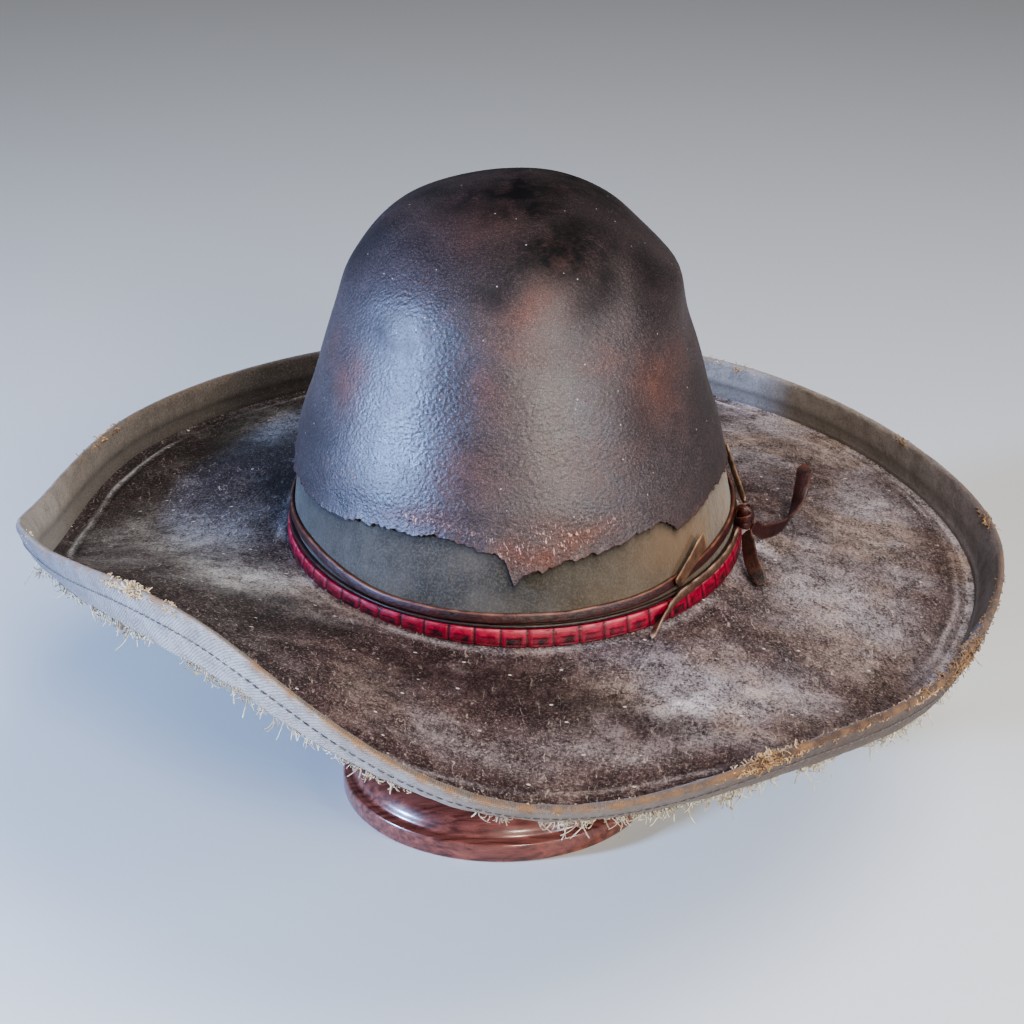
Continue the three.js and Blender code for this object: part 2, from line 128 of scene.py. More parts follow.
# Turns of the knot: middle up the knot, half width, tilt and turn of the tilt in degrees, and radius
KNOT_TURNS = [
    (-0.5, 0.24, 10, 20, 0.86), (-0.04, 0.27, -14, 0, 1.0), (0.46, 0.24, 12, 60, 0.84),
    (0.05, 0.2, 58, 75, 1.06), (0, 0.75, 0, 0, 0.7),
]

# Where the pieces meet
CROWN_TOP = STAND_HEIGHT + GAP + FELT
BRIM_PLANE = CROWN_TOP - CROWN_HEIGHT
OVER_CLOTH = GAP + CLOTH + GAP
COVER_LAP_TOP = CLOTH_BAND + COVER + GAP
THIN_LACE_BOTTOM = RED_BAND + GAP
FLAT_LACE_BOTTOM = THIN_LACE_BOTTOM + THIN_LACE + GAP

# How finely each piece is made
COVER_STEPS = 900
FELT_STEPS = 360
BAND_STEPS = 720
BINDING_STEPS = 1000
STAND_STEPS = 128
COVER_HEM_ROWS = 6
CLOTH_ROWS = 26
RED_ROWS = 22
LACE_SECTION = 14
TAIL_SECTION = 12
KNOT_STEPS = 56
STITCHES = 430
FRAY_THREADS = 7600
FRAY_STEPS = 7
TUFT_STEPS = 6

# Radii in mm at which noise runs round the band, the brim's crease and the lip
BAND_ROUND = 100
CREASE_ROUND = 170
LIP_ROUND = 190


def cubic(before, start, end, after, share):
    """The smooth curve through start and end."""
    bend = 2 * before - 5 * start + 4 * end - after
    twist = 3 * start - before - 3 * end + after
    return 0.5 * (2 * start + (end - before) * share + bend * share ** 2 + twist * share ** 3)


def around(column, azimuth):
    """A smooth value from equal steps that close on themselves."""
    column = np.asarray(column, float)
    place = np.asarray(azimuth, float) % 360 / 360 * len(column)
    step = np.floor(place).astype(int)
    points = [column[(step + k) % len(column)] for k in (-1, 0, 1, 2)]
    return cubic(*points, place - step)


def along(column, share):
    """A smooth value from equal steps with two ends."""
    column = np.asarray(column, float)
    last = len(column) - 1
    place = np.clip(share, 0, 1) * last
    step = np.minimum(np.floor(place).astype(int), last - 1)
    longer = np.concatenate([[2 * column[0] - column[1]], column, [2 * column[-1] - column[-2]]])
    return cubic(*(longer[step + k] for k in (0, 1, 2, 3)), place - step)


def smooth_step(value, low, high):
    share = np.clip((np.asarray(value, float) - low) / (high - low), 0, 1)
    return share * share * (3 - 2 * share)


def squared(values, power):
    """Sines or cosines made flatter on top, for sections with rounded edges."""
    return np.sign(values) * np.abs(values) ** power


def hump(value, middle, half):
    """A smooth rise to 1 at the middle."""
    return np.exp(-((value - middle) / half) ** 2)


def full_turn(steps):
    """Azimuths at equal steps round the hat."""
    return np.arange(steps) * 360 / steps


def grid(azimuth, rows):
    return np.meshgrid(azimuth, rows, indexing="ij")


def unit(vectors):
    return vectors / np.maximum(np.linalg.norm(vectors, axis=-1, keepdims=True), 1e-9)


def noise(points, size, seed):
    """Smooth bumps from -1 to 1, each about as wide as size."""
    lattice = np.random.default_rng(seed).uniform(-1, 1, (32, 32, 32))
    place = np.asarray(points, float) / size
    cell = np.floor(place).astype(int)
    share = place - cell
    share = share * share * (3 - 2 * share)
    total = 0
    for corner in np.ndindex(2, 2, 2):
        weight = np.prod(np.where(corner, share, 1 - share), axis=-1)
        at = (cell + corner) % 32
        total = total + weight * lattice[at[..., 0], at[..., 1], at[..., 2]]
    return total


def round_noise(azimuth, size, seed, radius=BAND_ROUND, rise=0):
    """Noise that runs round the hat and closes on itself."""
    turn = np.radians(azimuth)
    places = np.stack([radius * np.cos(turn), radius * np.sin(turn), rise + 0 * turn], axis=-1)
    return noise(places, size, seed)


def crown_surface(azimuth, row):
    """The felt crown's outer surface."""
    left, right = along(CROWN_LEFT, row), along(CROWN_RIGHT, row)
    middle = (left + right) / 2
    rise = 1 - (1 - row) ** 2
    cosine, sine = np.cos(np.radians(azimuth)), np.sin(np.radians(azimuth))
    width = CROWN_HALF_WIDTH * (middle + (right - left) / 2 * cosine)
    depth = middle * (CROWN_HALF_DEPTH - CROWN_ROUNDING * CROWN_HALF_WIDTH * rise)
    height = BRIM_PLANE + CROWN_HEIGHT * rise + 0 * cosine
    return np.stack([CROWN_SHIFT + width * cosine, depth * sine, height], axis=-1)


def crown_normal(azimuth, row):
    sideways = crown_surface(azimuth + 0.2, row) - crown_surface(azimuth - 0.2, row)
    low = np.clip(row - 0.001, 0, 0.995)
    upwards = crown_surface(azimuth, low + 0.002) - crown_surface(azimuth, low)
    straight_up = np.zeros_like(sideways)
    straight_up[..., 2] = 1
    found = unit(np.cross(sideways, upwards))
    near_top = np.asarray(row)[..., None] + 0 * found[..., :1] > 0.995
    return np.where(near_top, straight_up, found)


def crown_point(azimuth, row, out):
    return crown_surface(azimuth, row) + crown_normal(azimuth, row) * np.asarray(out)[..., None]


def level_out(azimuth, row):
    """The level direction away from the crown's wall."""
    normal = crown_normal(azimuth, row)
    normal[..., 2] = 0
    return unit(normal)


def row_at_height(height):
    return 1 - np.sqrt(1 - np.asarray(height, float) / CROWN_HEIGHT)


# The crown's row where the cover's dome begins
COVER_DOME = row_at_height(COVER_LAP_TOP)


def wall_point(azimuth, height, out):
    """A point at a height above the brim's plane and a level distance outside the wall."""
    row = row_at_height(np.maximum(height, 0))
    point = crown_surface(azimuth, row) + level_out(azimuth, row) * np.asarray(out)[..., None]
    point[..., 2] = BRIM_PLANE + height
    return point


def brim_rise(azimuth, out):
    return out * np.tan(np.radians(around(BRIM_SLOPE, azimuth)))


def brim_width(azimuth):
    return BRIM_WIDTH * (1 + around(BRIM_EXTRA, azimuth))


def brim_point(azimuth, out, height):
    point = crown_surface(azimuth, 0 * azimuth) + level_out(azimuth, 0 * azimuth) * out[..., None]
    point[..., 2] = BRIM_PLANE + height
    return point


def brim_shell(azimuth, place, above):
    """A point above the brim's upper face, which is the inner face of its lip. Place is 0 at the crown's
    foot, 1 and 2 where the bend starts and ends, and 3 at the lip's top. Past 3 it counts millimetres."""
    slope = np.radians(around(BRIM_SLOPE, azimuth))
    lip = np.radians(around(BRIM_LIP, azimuth))
    width = brim_width(azimuth)
    flat = np.stack([np.cos(slope), np.sin(slope)], axis=-1)
    turned = np.stack([np.cos(lip), np.sin(lip)], axis=-1)
    crease = flat * width[..., None]
    level = np.clip(place, 0, 1)[..., None]
    bend = np.clip(place - 1, 0, 1)[..., None]
    rise = np.clip(place - 2, 0, 1)[..., None]
    before, after = crease - flat * BRIM_BEND, crease + turned * BRIM_BEND
    curve = before * (1 - bend) ** 2 + crease * 2 * bend * (1 - bend) + after * bend ** 2
    point = np.where(level < 1, before * level, curve + turned * rise * (LIP_HEIGHT - BRIM_BEND))
    tangent = unit(flat * (1 - bend) + turned * bend)
    upwards = np.stack([-tangent[..., 1], tangent[..., 0]], axis=-1)
    point = point + upwards * np.asarray(above)[..., None]
    point = point + turned * np.maximum(place - 3, 0)[..., None]
    return brim_point(azimuth, point[..., 0], point[..., 1])


def torn_height(azimuth):
    places, heights = zip(*TORN_EDGE)
    return CLOTH_BAND * np.interp(np.asarray(azimuth) % 360, places, heights)


# Meshes

def grid_quads(steps, rows, closed_round=True, closed_rows=False):
    """The quads of a grid of points, steps round and rows across."""
    last_step = steps if closed_round else steps - 1
    last_row = rows if closed_rows else rows - 1
    i, j = grid(np.arange(last_step), np.arange(last_row))
    onward, across = (i + 1) % steps, (j + 1) % rows
    quads = [i * rows + j, onward * rows + j, onward * rows + across, i * rows + across]
    corners_round = np.stack([i, i + 1, i + 1, i], axis=-1).reshape(-1, 4)
    corners_across = np.stack([j, j, j + 1, j + 1], axis=-1).reshape(-1, 4)
    return np.stack(quads, axis=-1).reshape(-1, 4), corners_round, corners_across


def add_object(name, data):
    thing = bpy.data.objects.new(name, data)
    bpy.context.scene.collection.objects.link(thing)
    return thing


def add_mesh(name, points, faces, finish, uv=None, values=None):
    mesh = bpy.data.meshes.new(name)
    mesh.from_pydata((np.asarray(points).reshape(-1, 3) * MM).tolist(), [], faces)
    mesh.polygons.foreach_set("use_smooth", [True] * len(mesh.polygons))
    if uv is not None:
        layer = mesh.uv_layers.new(name="UVMap")
        layer.data.foreach_set("uv", np.asarray(uv, np.float32).ravel())
    for key, value in (values or {}).items():
        attribute = mesh.attributes.new(key, "FLOAT", "POINT")
        full = np.broadcast_to(value, np.asarray(points).shape[:-1])
        attribute.data.foreach_set("value", np.ascontiguousarray(full, np.float32).ravel())
    mesh.materials.append(finish)
    mesh.validate(clean_customdata=False)
    mesh.update()
    piece = add_object(name, mesh)
    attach(piece, "root")
    return piece


def add_grid(name, points, finish, values=None, closed_rows=False, closed_round=True, flip=False,
             round_length=1.0, row_places=None, capped=False):
    """A mesh from points in a grid. Its map runs round_length round and row_places across, in mm."""
    steps, rows = points.shape[:2]
    quads, corners_round, corners_across = grid_quads(steps, rows, closed_round, closed_rows)
    if row_places is None:
        row_places = np.linspace(0, 1, rows)
    row_places = np.append(row_places, row_places[-1])
    uv = np.stack([corners_round / steps * round_length, row_places[corners_across]], axis=-1)
    if flip:
        quads, uv = quads[:, ::-1], uv[:, ::-1]
    faces, uv = quads.tolist(), uv.reshape(-1, 2)
    if capped:
        start, end = list(range(rows)), list(range((steps - 1) * rows, steps * rows))
        faces += [start if flip else start[::-1], end[::-1] if flip else end]
        uv = np.concatenate([uv, np.zeros((2 * rows, 2))])
    return add_mesh(name, points, faces, finish, uv, values)


def joined_strands(lines, radii, sides):
    """The points and quads of many thin strands. Lines holds the points of each one's middle line."""
    count, steps = lines.shape[:2]
    direction = unit(np.gradient(lines, axis=1))
    across = unit(np.cross(direction, np.array([0.31, 0.22, 0.93])))
    other = np.cross(direction, across)
    turn = np.arange(sides) / sides * 2 * math.pi
    ring = across[:, :, None] * np.cos(turn)[:, None] + other[:, :, None] * np.sin(turn)[:, None]
    points = lines[:, :, None] + ring * radii[:, :, None, None]
    quads = grid_quads(steps, sides, closed_round=False, closed_rows=True)[0][:, ::-1]
    start = (np.arange(count) * steps * sides)[:, None, None]
    faces = (quads[None] + start).reshape(-1, 4).tolist()
    return points.reshape(-1, 3), faces


# Materials

class Finish:
    """A material whose nodes are made and joined by short calls. Its colour is laid on coat by coat, and
    its relief layer by layer."""

    def __init__(self, name):
        self.material = bpy.data.materials.new(name)
        self.material.use_nodes = True
        self.tree = self.material.node_tree
        self.surface = self.tree.nodes["Principled BSDF"]
        self.place = self.tree.nodes.new("ShaderNodeTexCoord").outputs
        self.color = None
        self.relief = None

    def put(self, value, socket):
        if isinstance(value, bpy.types.NodeSocket):
            self.tree.links.new(value, socket)
        elif value is not None:
            socket.default_value = value

    def node(self, kind, **inputs):
        """A new node with its inputs set. An underscore stands for a space in an input's name."""
        node = self.tree.nodes.new("ShaderNode" + kind)
        for key, value in inputs.items():
            self.put(value, node.inputs[key.replace("_", " ")])
        return node

    def math(self, operation, *values):
        node = self.node("Math")
        node.operation = operation
        for value, socket in zip(values, node.inputs):
            self.put(value, socket)
        return node.outputs[0]

    def times(self, first, second):
        return self.math("MULTIPLY", first, second)

    def plus(self, first, second):
        return self.math("ADD", first, second)

    def scaled(self, size, stretch=(1, 1, 1)):
        """Places measured in widths of size, in mm, drawn out by stretch."""
        widths = [1 / (size * MM * longer) for longer in stretch]
        return self.node("Mapping", Scale=widths, Vector=self.place["Object"]).outputs[0]

    def noise(self, size, detail=3, rough=0.55, stretch=(1, 1, 1), warp=0):
        return self.node("TexNoise", Scale=1, Detail=detail, Roughness=rough, Distortion=warp,
                         Vector=self.scaled(size, stretch)).outputs["Fac"]

    def cells(self, size, stretch=(1, 1, 1), feature="F1"):
        node = self.node("TexVoronoi", Scale=1, Vector=self.scaled(size, stretch))
        node.feature = feature
        return node.outputs["Distance"]

    def waves(self, size, axis, warp):
        """Ribs of a width in mm across the mesh's own map."""
        places = self.node("Mapping", Scale=[1 / size] * 3, Vector=self.place["UV"]).outputs[0]
        node = self.node("TexWave", Scale=2 * math.pi / 20, Distortion=warp, Detail=1, Vector=places)
        node.bands_direction = axis
        return node.outputs["Fac"]

    def value(self, name):
        node = self.node("Attribute")
        node.attribute_name = name
        return node.outputs["Fac"]

    def between(self, value, low, high, first=0.0, second=1.0):
        """Value from low to high, turned into first to second, and held there outside."""
        node = self.node("MapRange", Value=value, From_Min=low, From_Max=high, To_Min=first, To_Max=second)
        return node.outputs[0]

    def mixed(self, share, first, second):
        node = self.node("Mix")
        node.data_type = "RGBA"
        self.put(share, node.inputs["Factor"])
        self.put(first, node.inputs[6])
        self.put(second, node.inputs[7])
        return node.outputs[2]

    def base(self, share, first, second):
        """The first coat, from one colour to another."""
        self.color = self.mixed(share, rgb(*first), rgb(*second))

    def coat(self, share, *color):
        self.color = self.mixed(share, self.color, rgb(*color))

    def layers(self, *layers):
        """Relief, each layer given as its height from 0 to 1 and its depth in mm."""
        for height, depth in layers:
            node = self.node("Bump", Distance=depth * MM, Height=height, Normal=self.relief)
            self.relief = node.outputs[0]

    def done(self, roughness, **settings):
        settings.update(Base_Color=self.color, Roughness=roughness, Normal=self.relief)
        for key, value in settings.items():
            self.put(value, self.surface.inputs[key.replace("_", " ")])
        return self.material


def rgb(red, green, blue):
    """A colour from 0 to 255 as the shader wants it."""
    parts = [part / 255 for part in (red, green, blue)]
    return [part / 12.92 if part <= 0.04045 else ((part + 0.055) / 1.055) ** 2.4 for part in parts] + [1]


def felt_finish():
    look = Finish("brim_felt")
    clouds = look.noise(24, detail=4, rough=0.6, warp=0.8)
    patches = look.noise(8, detail=5, rough=0.68, warp=0.5)
    speckle = look.noise(1.0, detail=4, rough=0.8)
    hairs = look.noise(0.8, detail=3, rough=0.7, stretch=(2.6, 1, 1), warp=0.6)
    strokes = look.noise(1.7, detail=3, rough=0.65, stretch=(1, 2.8, 1), warp=1.2)
    look.base(look.between(clouds, 0.36, 0.64), (34, 21, 23), (68, 46, 47))
    look.coat(look.between(patches, 0.46, 0.7, 0, 0.6), 100, 77, 77)
    look.coat(look.times(look.value("maroon"), look.between(patches, 0.35, 0.6, 1, 0.4)), 38, 16, 18)
    # Dark: dark places in the felt, a painted shadow beside the crown and painted shade in the crease's
    # crack
    look.coat(look.value("dark"), 16, 12, 13)
    look.coat(look.times(look.value("grey"), 0.65), 42, 40, 42)
    ground = look.plus(look.times(speckle, 0.6), look.times(patches, 0.4))
    # Pale chalky colour for dust, which on the brim's right half is also painted light
    dust_and_light_share = look.plus(look.value("dust_and_light"), look.between(clouds, 0.5, 0.75, 0.0, 0.2))
    dust_and_light = look.times(dust_and_light_share, look.between(ground, 0.38, 0.58, 0.0, 1.2))
    tan = look.between(look.noise(38, detail=2), 0.45, 0.6)
    chalk = look.mixed(tan, rgb(202, 193, 197), rgb(188, 168, 158))
    chalk = look.mixed(look.value("grey"), chalk, rgb(186, 186, 188))
    look.color = look.mixed(dust_and_light, look.color, chalk)
    covered = look.math("MAXIMUM", look.value("dark"), look.value("maroon"))
    bare = look.between(covered, 0, 1, 1, 0.25)
    look.coat(look.times(look.between(speckle, 0.53, 0.7, 0, 0.62), bare), 178, 158, 152)
    look.coat(look.between(speckle, 0.46, 0.32, 0, 0.5), 20, 13, 14)
    look.coat(look.times(look.between(hairs, 0.6, 0.72, 0, 0.5), bare), 188, 172, 160)
    look.coat(look.between(strokes, 0.45, 0.32, 0, 0.55), 24, 15, 16)
    look.coat(look.times(look.between(strokes, 0.6, 0.72, 0, 0.6), bare), 198, 182, 172)
    look.coat(look.between(look.cells(7, stretch=(1.6, 1, 1)), 0.05, 0.075, 0.8, 0), 220, 212, 206)
    look.layers((patches, 1.3), (strokes, 0.6), (speckle, 0.45), (look.value("rings"), 0.5))
    return look.done(look.between(clouds, 0.3, 0.7, 0.66, 0.88), Specular_IOR_Level=0.3)


def cover_finish():
    look = Finish("waxed_cover")
    clouds = look.noise(30, detail=4, rough=0.6, warp=0.5)
    mottle = look.noise(7, detail=5, rough=0.68)
    fine = look.noise(0.48, detail=2, rough=0.7)
    pores = look.cells(1.15, stretch=(1.3, 1, 1), feature="SMOOTH_F1")
    grain = look.noise(1.25, detail=3, rough=0.6, warp=0.4)
    dashes = look.noise(0.9, detail=2, rough=0.6, stretch=(1, 1, 2.6))
    dark, rust = look.value("dark"), look.value("rust")
    look.base(look.between(clouds, 0.35, 0.65), (30, 21, 23), (52, 36, 37))
    look.coat(look.between(mottle, 0.46, 0.72, 0, 0.45), 70, 50, 48)
    look.coat(look.times(rust, look.between(mottle, 0.3, 0.6, 0.35, 1)), 100, 58, 44)
    look.coat(look.between(fine, 0.5, 0.7, 0, 0.6), 120, 99, 100)
    look.coat(look.between(fine, 0.48, 0.3, 0, 0.7), 16, 11, 13)
    look.coat(look.times(dark, look.between(mottle, 0.32, 0.6, 0.45, 1.15)), 10, 7, 8)
    look.coat(look.value("edge"), 70, 42, 34)
    sewn = look.times(look.value("stitched"), look.between(dashes, 0.59, 0.67))
    look.coat(sewn, 204, 156, 142)
    look.coat(look.between(look.cells(6), 0.035, 0.055, 0.7, 0), 196, 188, 180)
    look.layers((look.noise(16, detail=3), 0.5), (grain, 0.16), (pores, 0.2), (fine, 0.12), (sewn, 0.2))
    rubbed = look.between(mottle, 0.35, 0.65, 0.46, 0.56)
    rubbed = look.plus(rubbed, look.times(look.value("shine"), -0.14))
    dull = look.math("MAXIMUM", dark, look.times(rust, 0.6))
    gloss = look.between(dull, 0, 1, 0.75, 0.14)
    return look.done(look.plus(rubbed, look.times(dark, 0.12)), Specular_IOR_Level=gloss)


def cloth_finish():
    look = Finish("band_cloth")
    clouds = look.noise(18, detail=4, rough=0.6)
    felted = look.noise(0.8, detail=4, rough=0.75)
    look.base(look.between(clouds, 0.35, 0.68), (46, 42, 37), (82, 75, 66))
    look.coat(look.between(felted, 0.45, 0.7, 0, 0.5), 122, 113, 102)
    look.coat(look.value("tan"), 104, 80, 56)
    # Dark: the painted shadow under the cover's torn edge, and dark places in the cloth
    look.coat(look.value("dark"), 28, 24, 21)
    look.layers((look.noise(5, detail=3), 0.8), (felted, 0.22))
    return look.done(0.94, Sheen_Weight=0.25, Sheen_Roughness=0.5)


def red_finish():
    look = Finish("red_leather")
    mottle = look.noise(2.4, detail=4, rough=0.65)
    look.base(look.between(mottle, 0.35, 0.7), (112, 8, 32), (170, 18, 52))
    look.coat(look.value("scorch"), 24, 3, 8)
    # Worn on the red band is a painted glint along its top edge
    look.coat(look.value("worn"), 206, 96, 104)
    look.layers((look.noise(0.5, detail=3), 0.14))
    return look.done(look.between(mottle, 0.3, 0.7, 0.34, 0.56))


def leather_finish(name, dark, light, edge):
    look = Finish(name)
    mottle = look.noise(4, detail=4, rough=0.6)
    creases = look.noise(0.8, detail=4, rough=0.7)
    look.base(look.between(mottle, 0.32, 0.68), dark, light)
    look.coat(look.between(creases, 0.55, 0.8, 0, 0.4), *edge)
    look.coat(look.value("edge"), *edge)
    # Dark: painted shade on the laces, and random dark mottling on the knot and tails
    look.coat(look.value("dark"), 20, 11, 10)
    look.layers((mottle, 0.5), (creases, 0.22))
    return look.done(look.between(creases, 0.3, 0.7, 0.34, 0.52), Coat_Weight=0.15, Coat_Roughness=0.3)


def ribbon_finish():
    look = Finish("ribbon")
    mottle = look.noise(8, detail=5, rough=0.68)
    speckle = look.noise(0.9, detail=3, rough=0.75)
    outside, tan = look.value("outside"), look.value("tan")
    look.base(look.value("pale"), (52, 42, 36), (206, 196, 186))
    # Blue is painted bluish light on the binding
    look.coat(look.value("blue"), 142, 138, 158)
    look.coat(tan, 68, 41, 28)
    look.coat(look.between(mottle, 0.42, 0.7, 0, 0.45), 66, 54, 47)
    fluff = look.between(tan, 0, 1, 0.45, 0.2)
    look.coat(look.times(look.between(speckle, 0.53, 0.7), fluff), 176, 164, 152)
    look.coat(look.between(speckle, 0.45, 0.32, 0, 0.5), 34, 27, 24)
    # Under is painted shade on the lip's inner face, just above the bend
    look.coat(look.times(look.value("under"), look.between(mottle, 0.35, 0.6, 1, 0.65)), 36, 28, 26)
    look.coat(look.value("worn"), 142, 104, 68)
    look.coat(look.value("frayed"), 204, 192, 170)
    twill = look.times(outside, look.waves(0.62, "DIAGONAL", warp=0.8))
    ribs = look.times(look.math("SUBTRACT", 1.0, outside), look.waves(0.62, "X", warp=0.8))
    weave = look.plus(twill, ribs)
    look.coat(look.between(weave, 0.1, 0.6, 0.3, 0), 60, 52, 48)
    look.layers((mottle, 0.9), (weave, 0.12), (speckle, 0.3))
    return look.done(0.92, Sheen_Weight=0.1, Sheen_Roughness=0.5)


def thread_finish(name, dark, light):
    look = Finish(name)
    look.base(look.between(look.noise(5, detail=3, rough=0.6), 0.35, 0.65), dark, light)
    look.layers((look.noise(0.3, detail=2), 0.05))
    return look.done(0.9, Sheen_Weight=0.2)


def wood_finish():
    look = Finish("stand_wood")
    rings = look.noise(2.2, detail=4, rough=0.6, stretch=(9, 1, 1), warp=0.4)
    clouds = look.noise(24, detail=3)
    pores = look.noise(0.35, detail=2, stretch=(14, 1, 1))
    look.base(look.between(rings, 0.36, 0.66), (80, 40, 33), (146, 84, 68))
    look.coat(look.between(clouds, 0.55, 0.75, 0, 0.5), 150, 94, 78)
    look.coat(look.between(pores, 0.6, 0.75, 0, 0.5), 30, 9, 7)
    look.layers((rings, 0.08))
    return look.done(look.between(clouds, 0.3, 0.7, 0.24, 0.36), Coat_Weight=0.6, Coat_Roughness=0.16)


def stage_finish():
    look = Finish("stage_pale")
    look.color = rgb(214, 212, 208)
    return look.done(0.75)


# Leathers and threads: dark colour, light colour and, for leather, the colour of its worn edges.
# Then the leather of each tail.
LEATHERS = {
    "dark_leather": ((18, 11, 11), (42, 24, 20), (80, 50, 38)),
    "brown_leather": ((40, 14, 12), (74, 27, 22), (132, 88, 66)),
    "tan_leather": ((64, 42, 30), (110, 78, 56), (168, 130, 96)),
    "maroon_leather": ((26, 9, 11), (58, 18, 20), (112, 70, 56)),
    "umber_leather": ((34, 20, 17), (70, 40, 31), (112, 76, 58)),
    "worn_leather": ((58, 37, 29), (98, 68, 53), (178, 152, 130)),
    "pale_leather": ((62, 44, 34), (104, 78, 60), (150, 122, 98)),
}
THREADS = {
    "stitch_thread": ((78, 70, 68), (108, 100, 94)),
    "fray_thread": ((160, 140, 112), (222, 214, 196)),
    "tan_thread": ((132, 96, 62), (206, 170, 124)),
    "brown_thread": ((78, 54, 38), (158, 122, 84)),
    "cream_thread": ((180, 150, 110), (228, 208, 174)),
}
TAIL_FINISHES = {
    "tail_curl": "maroon_leather", "tail_fold": "umber_leather", "tail_front": "worn_leather",
    "tail_cut": "tan_leather", "tail_upright": "pale_leather",
}

# Places of wear, and on the brim also painted light and painted shadow. Round spots are given as x, y, half
# width, half depth and strength, in the brim's plan, or as azimuth, height, half width in degrees, half
# height and strength on the crown.

# Dust on the brim, and on its right half also painted light: pale patches that stand in for the light
# falling there
BRIM_DUST_AND_LIGHT = [
    (-122, -20, 24, 26, 0.7), (-108, -50, 16, 20, 0.6), (-142, 5, 16, 22, 0.5), (-141, -52, 12, 18, 0.35),
    (99, -17, 12, 9, 0.95), (118, -6, 22, 12, 0.45), (145, 44, 16, 34, 0.5), (151, -40, 18, 26, 0.3),
    (69, -134, 22, 9, 0.95), (49, -128, 20, 7, 0.5), (91, -121, 18, 14, 0.65), (113, -52, 18, 16, 0.5),
    (120, -89, 14, 16, 0.45), (-40, -150, 14, 14, 0.25), (-8, -168, 30, 8, 0.25), (35, -158, 30, 7, 0.3),
    (81, -152, 20, 8, 0.5), (-100, 120, 18, 28, 0.4), (120, 150, 20, 20, 0.35), (0, 160, 50, 14, 0.3),
    (60, -72, 16, 8, 0.5), (-60, -92, 18, 10, 0.3), (-90, -66, 24, 17, 0.85),
    (128, -50, 34, 44, 0.55), (150, 20, 24, 50, 0.6), (104, 100, 36, 36, 0.5), (78, -122, 42, 22, 0.55),
    (128, 142, 26, 34, 0.75), (146, 106, 20, 34, 0.6),
]
BRIM_MAROON = [
    (22, -138, 36, 12, 0.9), (-6, -133, 36, 15, 1), (-30, -122, 20, 10, 0.8), (45, -148, 24, 7, 0.6),
    (120, 20, 26, 30, 0.5), (-70, -110, 22, 16, 0.45), (100, 90, 26, 26, 0.4), (140, -60, 22, 18, 0.4),
    (-20, 150, 40, 20, 0.3),
]
# Dark places on the brim, among them a painted shadow on the brim at the left of the crown's back
BRIM_DARK_AND_SHADOW = [
    (-82, -88, 18, 16, 0.5), (-108, 98, 30, 40, 1), (-88, 44, 15, 32, 0.95), (-90, 4, 9, 22, 0.7),
    (-59, -104, 16, 12, 0.5), (-96, 20, 12, 44, 0.45), (30, -142, 24, 6, 0.5), (-10, 140, 60, 16, 0.4),
    (110, 60, 14, 20, 0.3), (-118, -18, 6, 8, 0.55),
]
# How marked the crease before the bend is, and how much pale painted light lies on the bend, every 30
# degrees
BRIM_CREASE = [0.8, 0.7, 0.7, 0.8, 1, 1.4, 1.5, 1.1, 0.8, 0.8, 0.7, 0.7]
BRIM_BEND_PAINTED_LIGHT = [0.85, 0.5, 0.1, 0, 0, 0, 0, 0, 0, 0, 0.1, 0.6]
COVER_RUST = [
    (215, 74, 9, 11, 1), (203, 84, 8, 8, 0.4), (277, 110, 11, 9, 0.9), (270, 100, 8, 6, 0.4),
    (250, 131, 26, 5, 0.45), (286, 124, 10, 5, 0.5), (318, 78, 14, 14, 0.6), (300, 92, 12, 10, 0.35),
    (292, 60, 14, 10, 0.3), (258, 54, 12, 9, 0.35), (281, 35, 9, 7, 0.9), (272, 29, 5, 6, 1),
    (246, 40, 9, 3, 0.5), (262, 84, 7, 9, 0.4), (60, 80, 24, 16, 0.4), (130, 96, 20, 14, 0.4),
    (170, 60, 16, 12, 0.4),
]
COVER_DARK = [
    (270, 139, 180, 11, 1), (292, 125, 50, 12, 0.95), (235, 122, 40, 8, 0.4), (60, 132, 130, 14, 0.9),
    (262, 117, 17, 10, 0.7), (302, 117, 16, 12, 0.75), (330, 112, 16, 14, 0.7), (190, 118, 20, 12, 0.6),
    (205, 50, 16, 12, 0.4), (222, 96, 8, 6, 0.35), (345, 60, 14, 20, 0.35), (306, 72, 7, 12, 0.3),
]
# Where the wax is rubbed to a shine
COVER_SHINE = [(238, 68, 22, 26, 1), (281, 70, 15, 22, 1), (306, 62, 9, 16, 0.8), (120, 70, 40, 24, 0.6)]
# Rows of small worn specks where the cover was once sewn
COVER_SEWN = [
    (281, 36, 8, 5.5, 1), (270, 32, 4.5, 4.5, 0.8), (247, 40, 6, 2.6, 0.95), (292, 39, 7, 2.4, 0.6),
    (222, 46, 8, 3.5, 0.55), (264, 37, 6, 2, 0.5),
]
# The cloth band's tan patches and dark places
CLOTH_TAN = [(320, 24, 20, 16, 0.95), (345, 20, 16, 22, 0.8), (296, 12, 14, 8, 0.3)]
CLOTH_DARK = [(262, 18, 30, 6, 0.25), (215, 20, 14, 12, 0.4)]
# The old felt's bumps and dents under the cover, with their depth in mm
CROWN_BUMPS = [
    (2, 104, 26, 7, 1.6), (2, 119, 30, 7, -0.8), (2, 87, 30, 8, -0.7), (188, 124, 26, 6, 1.0),
    (188, 112, 26, 6, -0.5), (300, 104, 14, 12, -0.7), (320, 108, 9, 10, 0.7), (240, 110, 16, 14, 0.4),
]


def spots(table, first, second, degrees=False, add=False):
    """The strength of wear from a table of round spots, at two coordinates."""
    total = np.zeros_like(first)
    for x, y, half_x, half_y, strength in table:
        away = (first - x + 180) % 360 - 180 if degrees else first - x
        reach = (away / half_x) ** 2 + ((second - y) / half_y) ** 2
        spot = strength * np.exp(-reach)
        total = total + spot if add else np.maximum(total, spot)
    return total


# Sub-parts

